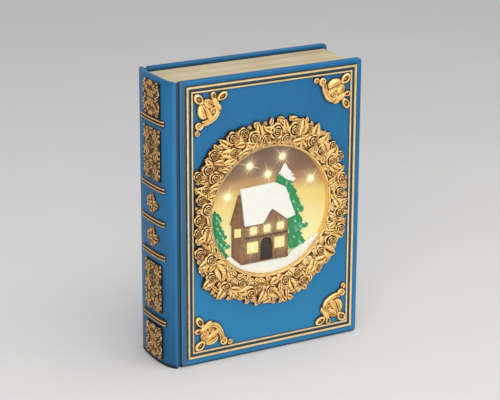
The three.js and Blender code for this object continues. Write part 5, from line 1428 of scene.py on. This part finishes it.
def needle_tufts(bm, spread, templates, peak, tall, half, tier, white):
    """Tufts in rows down a tier, every fourth on the right pale at its tips."""
    start, tips, reach = tier
    snow, needle = bm.verts.layers.float["snow"], bm.verts.layers.float_vector["needle"]
    wash_shade_highlight = wash_shade_highlight_layer(bm)
    for hang, count in TUFT_ROWS:
        down = start + (tips - start) * hang
        for i in range(count):
            lean = -1 + 2 * i / (count - 1)
            length = spread.uniform(2.6, 4.2)
            width = half * reach * tier_share(hang) * (1 - 0.12 * spread.random())
            y = peak.y - (down + 0.03 * (1 - lean * lean)) * tall + 0.5 * length
            heading = math.atan2(-1, 0.95 * lean) + spread.uniform(-0.15, 0.15)
            x = peak.x + lean * width - 0.3 * length * math.cos(heading)
            lift = SKY_C + 0.3 + 0.9 * math.sqrt(max(1 - lean * lean, 0))
            first = len(bm.verts)
            stamp(bm, spread.choice(templates), placed(x, y, lift, heading, (length, 2.6, 2.0)))
            bm.verts.ensure_lookup_table()
            for vert in bm.verts[first:]:
                vert[needle] = Vector((vert.co.x * 1.3, vert.co.y * 0.5, i))
                vert[wash_shade_highlight] = 1.5 if i % 4 == 0 and lean > 0 else 0.7 * vert[wash_shade_highlight]
                vert[snow] = 1.0 if (peak.y - vert.co.y) / tall < white * (1 + 0.3 * lean) else 0.0


def fir_tree(name, templates):
    """Trunk and drooping tiers with needle tufts, snow on the crown and on the right-hand tips."""
    share_a, top, bottom, half_share, white = FIRS[name]
    bm = new_bmesh()
    spread = random.Random(len(name))
    tall, half = (top - bottom) * WINDOW_RADIUS, half_share * WINDOW_RADIUS
    peak = window_place(share_a, top, 0)
    left, right = peak.x - TRUNK_HALF, peak.x + TRUNK_HALF
    block(bm, (left, peak.y - tall, SKY_C + 0.05), (right, peak.y - 0.7 * tall, SKY_C + 0.9), 0.2, 0.1)
    for number, tier in enumerate(FIR_TIERS):
        fir_skirt(bm, peak, tall, half, tier, number, white)
        needle_tufts(bm, spread, templates, peak, tall, half, tier, white)
    for vert in bm.verts:
        vert.co.z = min(max(vert.co.z, SKY_C + 0.02), SKY_C + FIR_DEEP + 0.04)
    bm.transform(ON_COVER)
    keep_in_opening(bm)
    return bm


# Lens of an LED in metres: its radius, its flange's radius and thickness.
LENS_RADIUS, FLANGE_RADIUS, FLANGE_THICK = 0.0015, 0.0019, 0.001
# Section of its dome from the front, in shares of the radius: out and back.
DOME_SECTION = ((0.0, 0.0), (0.38, 0.08), (0.7, 0.3), (0.92, 0.62), (1.0, 1.0))


def lamp_dome(lamp):
    """Round lens of one LED with its flange, turned about the lamp's axis."""
    low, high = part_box(lamp)
    x, z = (low.x + high.x) / 2, (low.z + high.z) / 2
    step = high.y - FLANGE_THICK
    profile = [(LENS_RADIUS * out, low.y + LENS_RADIUS * back) for out, back in DOME_SECTION]
    profile += [(LENS_RADIUS, step), (FLANGE_RADIUS, step), (FLANGE_RADIUS, high.y), (0.0, high.y)]
    bm = new_bmesh()
    spin_line(bm, [(x + reach, y, z) for reach, y in profile], 24, centre=(x, 0, z), axis=(0, 1, 0))
    bmesh.ops.remove_doubles(bm, verts=bm.verts, dist=0.000002)
    bmesh.ops.recalc_face_normals(bm, faces=bm.faces)
    return bm


# Up to this far past the window's radius, in millimetres, the front cover's mesh belongs to its bore.
BORE_REACH = 2.2
# Width of the border inside a flat face, in metres.
FLAT_BORDER = 0.00015


def widened(bm):
    """Move the bore of the front cover out to the opening."""
    middle = opening_middle()
    for vert in bm.verts:
        across, up = vert.co.x - COVER_LEFT - WINDOW_A * MM, vert.co.z - WINDOW_B * MM
        away = math.hypot(across, up)
        if away < (WINDOW_RADIUS + BORE_REACH) * MM:
            vert.co.x = middle.x + across / away * OPENING_RADIUS * MM
            vert.co.z = middle.z + up / away * OPENING_RADIUS * MM


def kept_flat(bm):
    """Border inside every flat front and back, so that the rounded edges beside it don't shade across it."""
    for side in (1, -1):
        flat = [f for f in bm.faces if f.normal.y * side > 0.99999]
        bmesh.ops.inset_region(bm, faces=flat, use_boundary=True, use_even_offset=True, thickness=FLAT_BORDER,
                               depth=0)


def softened(name, width):
    """Copy of a CAD node with its sharp edges rounded."""
    bm = merged_copy(name)
    bmesh.ops.dissolve_limit(bm, angle_limit=math.radians(1), verts=bm.verts, edges=bm.edges)
    edges = [e for e in bm.edges if len(e.link_faces) == 2 and e.calc_face_angle(0) > math.radians(35)]
    bmesh.ops.bevel(bm, geom=edges, offset=width, offset_type="OFFSET", segments=2, profile=0.5,
                    affect="EDGES", clamp_overlap=True, material=-1)
    kept_flat(bm)
    return bm


# Settings

def colour(name, *levels):
    return FloatVectorProperty(name=name, description=f"Colour of the {name.lower()}", subtype="COLOR",
                               size=3, min=0, max=1, default=srgb(*levels))


class PaintSettings(bpy.types.PropertyGroup):
    """Colours of the paints and mouldings."""
    cover_blue: colour("Cover blue", 8, 92, 142)
    cover_pale: colour("Cover pale", 30, 116, 162)
    cover_dark: colour("Cover dark", 10, 70, 112)
    # Painted light: the paler blue of the front cover toward its foot.
    cover_foot_light: colour("Cover foot", 32, 124, 172)
    # Wash and painted shade of the covers in their recesses and beside the gilt.
    cover_wash_and_shade: colour("Cover wash", 12, 28, 44)
    channel_slate: colour("Channel slate", 44, 58, 62)
    # Wash and painted shade of the hinge groove.
    groove_wash_and_shade: colour("Groove slate", 48, 70, 82)
    strip_grey: colour("Strip grey", 64, 84, 96)
    # The darkest gilt tone is the wash and painted shade of the crevices, and the cream the painted highlight
    # on the crests.
    gilt_wash_and_shade: colour("Gilt wash", 44, 26, 10)
    gilt_brown: colour("Gilt brown", 140, 88, 34)
    gilt_gold: colour("Gilt gold", 221, 165, 82)
    gilt_bright: colour("Gilt bright", 246, 208, 132)
    gilt_cream: colour("Gilt cream", 255, 240, 198)
    brass_brown: colour("Brass brown", 108, 84, 56)
    brass_tan: colour("Brass tan", 168, 140, 98)
    brass_pale: colour("Brass pale", 214, 190, 142)
    brass_cream: colour("Brass cream", 250, 238, 208)
    page_cream: colour("Page cream", 217, 204, 169)
    page_tan: colour("Page tan", 189, 171, 133)
    # Lines between the leaves, and the painted shade where the pages sink between the covers.
    page_line_and_shade: colour("Page line", 140, 118, 82)
    sky_low: colour("Sky low", 212, 206, 150)
    sky_gold: colour("Sky gold", 205, 182, 108)
    sky_tan: colour("Sky tan", 168, 130, 84)
    sky_brown: colour("Sky brown", 118, 88, 66)
    sky_dark: colour("Sky dark", 98, 76, 64)
    lamp_warm: colour("Lamp warm", 255, 236, 180)
    star_cream: colour("Star cream", 255, 248, 208)
    pane_yellow: colour("Pane yellow", 214, 197, 127)
    pane_cream: colour("Pane cream", 238, 216, 166)
    glow_tan: colour("Glow tan", 236, 212, 156)
    wall_brown: colour("Wall brown", 94, 66, 46)
    wall_tan: colour("Wall tan", 135, 99, 68)
    wall_dark: colour("Wall dark", 52, 38, 32)
    snow_white: colour("Snow white", 235, 234, 221)
    snow_shade: colour("Snow shade", 222, 223, 215)
    fir_dark: colour("Fir dark", 12, 66, 40)
    fir_green: colour("Fir green", 46, 140, 84)
    fir_pale: colour("Fir pale", 150, 208, 172)


class WreathSettings(bpy.types.PropertyGroup):
    """Sizes and counts of the gilt wreath."""
    rose_radius: FloatProperty(name="Rose radius", description="Largest rose, in millimetres",
                               default=5.6, min=3, max=7)
    leaf_length: FloatProperty(name="Leaf length", description="Usual leaf, in millimetres",
                               default=10.8, min=6, max=15)
    dart_count: IntProperty(name="Fill tries", description="Tries to place a small flower between the roses",
                            default=900, min=0, max=4000)
    rim_count: IntProperty(name="Rim sprigs", description="Sprigs along the window's rim",
                           default=84, min=0, max=120)


class GlowSettings(bpy.types.PropertyGroup):
    """Light of the lamps and of the studio."""
    sky_strength: FloatProperty(name="Sky glow", description="Light that the sky panel lets through",
                                default=0.3, min=0, max=5)
    pane_strength: FloatProperty(name="Window glow", description="Light of the cottage windows",
                                 default=0.4, min=0, max=5)
    lamp_strength: FloatProperty(name="Lamp glow", description="Light of the lamps' lenses",
                                 default=0.9, min=0, max=20)
    sparkle_reach: FloatProperty(name="Sparkle reach", description="Length of a lamp's rays, in millimetres",
                                 default=10.0, min=1, max=20)
    key_power: FloatProperty(name="Key light", description="Power of the main soft light",
                             default=8.0, min=0, unit="POWER")
    fill_power: FloatProperty(name="Fill light", description="Power of the low front and the top light",
                              default=4.9, min=0, unit="POWER")


def settings_of(context):
    scene = context.scene
    return scene.book_paint, scene.book_wreath, scene.book_glow


def repaint(material, *names):
    """New paint on CAD nodes that keep their own mesh."""
    for name in names:
        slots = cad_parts[name].data.materials
        slots.clear()
        slots.append(material)


# Operators

class BOOK_OT_covers(bpy.types.Operator):
    """Paint the covers and the spine, with softened edges"""
    bl_idname = "book.covers"
    bl_label = "Covers and spine"

    def execute(self, context):
        paint, _, _ = settings_of(context)
        blue = cover_paint(paint)
        front, back = merged_copy("front_cover"), merged_copy("back_cover")
        widened(front)
        kept_flat(front)
        kept_flat(back)
        shown("front_cover_painted", front, front_paint(paint), ["front_cover"], smooth=38)
        shown("back_cover_painted", back, blue, ["back_cover"], smooth=38)
        shown("spine_shell_painted", merged_copy("spine_shell"), blue, ["spine_shell"],
              smooth=38)
        shown("battery_cover_painted", softened("battery_cover", 0.00015), blue,
              ["battery_cover"], body="battery_cover", smooth=40)
        return {"FINISHED"}


class BOOK_OT_pages(bpy.types.Operator):
    """Give the page edges their fine lines"""
    bl_idname = "book.pages"
    bl_label = "Page edges"

    def execute(self, context):
        paint, _, _ = settings_of(context)
        repaint(page_paint(paint), "page_edge_head", "page_edge_tail", "page_edge_fore")
        return {"FINISHED"}


class BOOK_OT_beads(bpy.types.Operator):
    """Round the two beads of the gilt frame"""
    bl_idname = "book.beads"
    bl_label = "Gilt frame"

    def execute(self, context):
        paint, _, _ = settings_of(context)
        gilt = gilt_paint("Gilt_Bead", gilt_tones(paint, 0.9), level=0.84, crevice_shade=0.3, mottle=0.34)
        shown("outer_bead_gilt", gilt_bead(*OUTER_BEAD), gilt, ["outer_border_bead"])
        shown("inner_bead_gilt", gilt_bead(*INNER_BEAD), gilt, ["inner_border_bead"])
        return {"FINISHED"}


class BOOK_OT_wreath(bpy.types.Operator):
    """Carve the wreath of roses and leaves"""
    bl_idname = "book.wreath"
    bl_label = "Rose wreath"

    def execute(self, context):
        paint, wreath, _ = settings_of(context)
        gilt = gilt_paint("Gilt_Wreath", gilt_tones(paint), level=1.22, crevice_shade=0.7, mottle=0.24, sharp=1.42)
        shown("rose_wreath_gilt", dress_wreath(wreath), gilt, ["rose_wreath"])
        return {"FINISHED"}


class BOOK_OT_scrolls(bpy.types.Operator):
    """Carve the four corner scrolls"""
    bl_idname = "book.scrolls"
    bl_label = "Corner scrolls"

    def execute(self, context):
        paint, _, _ = settings_of(context)
        gilt = gilt_paint("Gilt_Scroll", gilt_tones(paint), level=0.85, crevice_shade=0.7, mottle=0.34, sharp=1.4)
        left, right = BEAD_LEFT + SCROLL_INSET, BEAD_RIGHT - SCROLL_INSET
        low, high = BEAD_BOTTOM + SCROLL_INSET, BEAD_TOP - SCROLL_INSET
        corners = {"top_left": (left, high), "top_right": (right, high), "bottom_right": (right, low),
                   "bottom_left": (left, low)}
        for quarter, (corner, (a, b)) in enumerate(corners.items()):
            shown(f"scroll_{corner}_gilt", corner_scroll(a, b, quarter), gilt,
                  [f"corner_scroll_{corner}"])
        return {"FINISHED"}


class BOOK_OT_spine(bpy.types.Operator):
    """Carve the panels, bands and flowers of the spine"""
    bl_idname = "book.spine"
    bl_label = "Spine ornaments"

    def execute(self, context):
        paint, _, _ = settings_of(context)
        tones = gilt_tones(paint, 0.3)
        gilt = gilt_paint("Gilt_Spine", tones, level=0.81, crevice_shade=0.9, mottle=0.3, sharp=1.7)
        templates = {
            "curl_left": curl_template(1.3, 1, 0.17, 0.9, 14),
            "curl_right": curl_template(1.3, -1, 0.17, 0.9, 14),
            "leaf": leaf_template(31, 0.2, 3, 0.3, 6, 4),
            "bud": lobe_template(SHELL_RINGS, 0, sectors=10),
            "rose": rose_template(32, BUD_RINGS, 16),
        }
        for name, (low, high, rows) in SPINE_PANELS.items():
            shown(f"{name}_gilt", spine_panel(low, high, rows, templates), gilt, [name])
        for i, height in enumerate(BAND_HEIGHTS, 1):
            shown(f"spine_band_{i}_gilt", spine_band(height), gilt, [f"spine_band_{i}"])
        upper, middle, lower = BAND_HEIGHTS[1:4]
        for place, height in (("upper", (upper + middle) / 2), ("lower", (middle + lower) / 2)):
            shown(f"spine_flower_{place}_gilt", spine_flower(height, templates), gilt,
                  [f"spine_flower_{place}"])
        discard(templates.values())
        return {"FINISHED"}


class BOOK_OT_snow_scene(bpy.types.Operator):
    """Dress the sky, the cottage, the firs and the snow"""
    bl_idname = "book.snow_scene"
    bl_label = "Snow scene"

    def execute(self, context):
        paint, _, glow = settings_of(context)
        repaint(sky_paint(paint, glow), "sky_panel")
        repaint(wall_paint(paint, glow), "cottage")
        trim = mottled("Dark_Timber", paint.wall_dark, srgb(86, 66, 52), 300)
        shown("cottage_trim", cottage_trim(), trim)
        bars = mottled("Window_Bars", srgb(226, 202, 146), srgb(202, 172, 118), 400)
        shown("window_bars", window_bars(), bars)
        door = mottled("Door_Boards", srgb(38, 34, 32), srgb(66, 58, 52), 420, stretch=(1, 1, 0.2))
        shown("cottage_door_boards", door_leaves(), door, ["cottage_door"])
        shown("window_panes", panes(), pane_paint(paint, glow))
        snow = snow_paint(paint)
        shown("roof_snow_soft", soft_snow("roof_snow", 0.00045, 0.0004), snow, ["roof_snow"])
        shown("snow_bank_soft", soft_snow("snow_bank", 0.0006, 0.0005), snow, ["snow_bank"])
        needles = [leaf_template(seed, 0.26, 7, 0.2, 8, 4) for seed in (41, 42, 43)]
        green = fir_paint(paint)
        for name in FIRS:
            shown(f"{name}_needles", fir_tree(name, needles), green, [name])
        discard(needles)
        return {"FINISHED"}


class BOOK_OT_lamps(bpy.types.Operator):
    """Turn the lenses of the lamps and light them"""
    bl_idname = "book.lamps"
    bl_label = "Lamps"

    def execute(self, context):
        paint, _, glow = settings_of(context)
        lit = lamp_paint(paint, glow)
        for group in ("star", "window"):
            for i in range(1, 6):
                name = f"{group}_led_{i}"
                shown(f"{name}_lens", lamp_dome(name), lit, [name])
        return {"FINISHED"}


class BOOK_OT_works(bpy.types.Operator):
    """Finish the housing, board, battery bay, switch, leads and screws"""
    bl_idname = "book.works"
    bl_label = "Battery bay and works"

    def execute(self, context):
        white = mottled("White_Moulding", srgb(232, 230, 224), srgb(222, 220, 212), 120, 0.45)
        black = mottled("Black_Moulding", srgb(26, 26, 28), srgb(38, 38, 40), 260, 0.5)
        board = mottled("Lamp_Board", srgb(226, 230, 220), srgb(206, 214, 204), 90, 0.5)
        steel = mottled("Plated_Steel", srgb(188, 190, 194), srgb(158, 160, 166), 340, 0.28, 0.95, 0.00005)
        jacket = mottled("Cell_Jacket", srgb(60, 72, 86), srgb(72, 84, 98), 60, 0.35, 0.3)
        red = mottled("Red_Insulation", srgb(176, 34, 30), srgb(150, 26, 24), 300, 0.45)
        dark = mottled("Black_Insulation", srgb(24, 24, 24), srgb(36, 36, 36), 300, 0.45)
        repaint(white, "scene_housing")
        repaint(board, "led_board")
        repaint(black, "battery_box", "switch_body")
        repaint(steel, "cell_link_contact", "positive_contact", "negative_contact",
                *[f"back_cover_screw_{i}" for i in range(1, 5)])
        repaint(jacket, "battery_cell_upper", "battery_cell_lower")
        repaint(red, "lead_battery_to_switch", "lead_switch_to_board")
        repaint(dark, "lead_battery_to_board")
        shown("switch_knob_soft", softened("switch_knob", 0.00012), black, ["switch_knob"],
              body="switch_knob", smooth=40)
        return {"FINISHED"}


# Camera fitted to the photograph: place in metres, turn, height and roll in degrees, lens in millimetres.
CAMERA = {
    "place": (-0.5876, -1.0554, 0.5099), "turn": -29.145, "height": 18.591, "roll": 0.257, "lens": 133.57,
}
# What the studio lights are aimed at.
LIGHT_AIM = Vector((0, 0, 0.1))


class BOOK_OT_stage(bpy.types.Operator):
    """Set the floor, the soft studio lights, the world and the camera"""
    bl_idname = "book.stage"
    bl_label = "Stage"

    def execute(self, context):
        _, _, glow = settings_of(context)
        scene = context.scene
        scene.view_settings.view_transform = "Standard"
        self.make_camera(scene)
        self.make_floor(scene)
        self.make_world(scene)
        for name, place, size, power, tint in (
            ("key_light", (-0.8, -1.1, 0.75), 0.9, glow.key_power, (1.0, 0.985, 0.96)),
            ("fill_light", (-0.2, -0.75, 0.06), 0.3, glow.fill_power * 0.35, (0.97, 0.98, 1.0)),
            ("top_light", (0.15, -0.35, 1.1), 0.8, glow.fill_power, (1.0, 1.0, 1.0)),
        ):
            self.make_light(scene, name, place, size, power, tint)
        return {"FINISHED"}

    @staticmethod
    def make_camera(scene):
        turn, height, roll = (math.radians(CAMERA[key]) for key in ("turn", "height", "roll"))
        level = math.cos(height)
        back = Vector((math.sin(turn) * level, -math.cos(turn) * level, math.sin(height)))
        right = Vector((math.cos(turn), math.sin(turn), 0))
        up = back.cross(right)
        right, up = (right * math.cos(roll) + up * math.sin(roll),
                     up * math.cos(roll) - right * math.sin(roll))
        camera = bpy.data.objects.new("photo_camera", bpy.data.cameras.new("photo_camera"))
        camera.data.lens = CAMERA["lens"]
        camera.data.sensor_width = 36
        camera.data.clip_start = 0.05
        matrix = Matrix((right, up, back)).transposed().to_4x4()
        matrix.translation = CAMERA["place"]
        camera.matrix_world = matrix
        scene.collection.objects.link(camera)
        scene.camera = camera

    @staticmethod
    def make_floor(scene):
        bm = bmesh.new()
        bmesh.ops.create_grid(bm, x_segments=2, y_segments=2, size=4)
        mesh = bpy.data.meshes.new("floor")
        bm.to_mesh(mesh)
        bm.free()
        floor = bpy.data.objects.new("floor", mesh)
        floor.location.z = -0.0001
        scene.collection.objects.link(floor)
        material, tree, shader = start_material("Pale_Floor", 0.7)
        tone = grain(tree, object_place(tree), 6)
        link(tree, mixed(tree, tone, srgb(226, 224, 222), srgb(234, 232, 230)), shader, "Base Color")
        mesh.materials.append(material)

    @staticmethod
    def make_world(scene):
        world = bpy.data.worlds.new("studio")
        world.use_nodes = True
        tree = world.node_tree
        shader = tree.nodes["Background"]
        rays = node(tree, "ShaderNodeLightPath")
        seen = maths(tree, "MAXIMUM", rays.outputs["Is Camera Ray"], rays.outputs["Is Glossy Ray"])
        level = maths(tree, "ADD", 0.5, maths(tree, "MULTIPLY", seen, 0.35))
        shader.inputs["Color"].default_value = (0.93, 0.94, 0.96, 1)
        tree.links.new(level, shader.inputs["Strength"])
        scene.world = world

    @staticmethod
    def make_light(scene, name, place, size, power, tint):
        data = bpy.data.lights.new(name, "AREA")
        data.energy = power
        data.size = size
        data.color = tint
        lamp = bpy.data.objects.new(name, data)
        lamp.location = place
        aim = LIGHT_AIM - Vector(place)
        lamp.rotation_euler = aim.to_track_quat("-Z", "Y").to_euler()
        scene.collection.objects.link(lamp)


class BOOK_PT_ornament(bpy.types.Panel):
    """Sidebar panel with the ornament's settings and pieces"""
    bl_idname = "BOOK_PT_ornament"
    bl_label = "Lit book ornament"
    bl_space_type = "VIEW_3D"
    bl_region_type = "UI"
    bl_category = "Ornament"

    def draw(self, context):
        for group in settings_of(context):
            column = self.layout.column(align=True)
            for key in group.__annotations__:
                column.prop(group, key)
        column = self.layout.column(align=True)
        for operator in OPERATORS:
            column.operator(operator.bl_idname)


SETTINGS = {"book_paint": PaintSettings, "book_wreath": WreathSettings, "book_glow": GlowSettings}
OPERATORS = (BOOK_OT_stage, BOOK_OT_covers, BOOK_OT_pages, BOOK_OT_beads, BOOK_OT_wreath, BOOK_OT_scrolls,
             BOOK_OT_spine, BOOK_OT_snow_scene, BOOK_OT_lamps, BOOK_OT_works)


def register():
    for cls in (*SETTINGS.values(), *OPERATORS, BOOK_PT_ornament):
        bpy.utils.register_class(cls)
    for name, cls in SETTINGS.items():
        setattr(bpy.types.Scene, name, PointerProperty(type=cls))


def unregister():
    for name in SETTINGS:
        delattr(bpy.types.Scene, name)
    for cls in reversed((*SETTINGS.values(), *OPERATORS, BOOK_PT_ornament)):
        bpy.utils.unregister_class(cls)


def main():
    register()
    for operator in OPERATORS:
        group, name = operator.bl_idname.split(".")
        getattr(getattr(bpy.ops, group), name)()


if __name__ == "__main__":
    main()
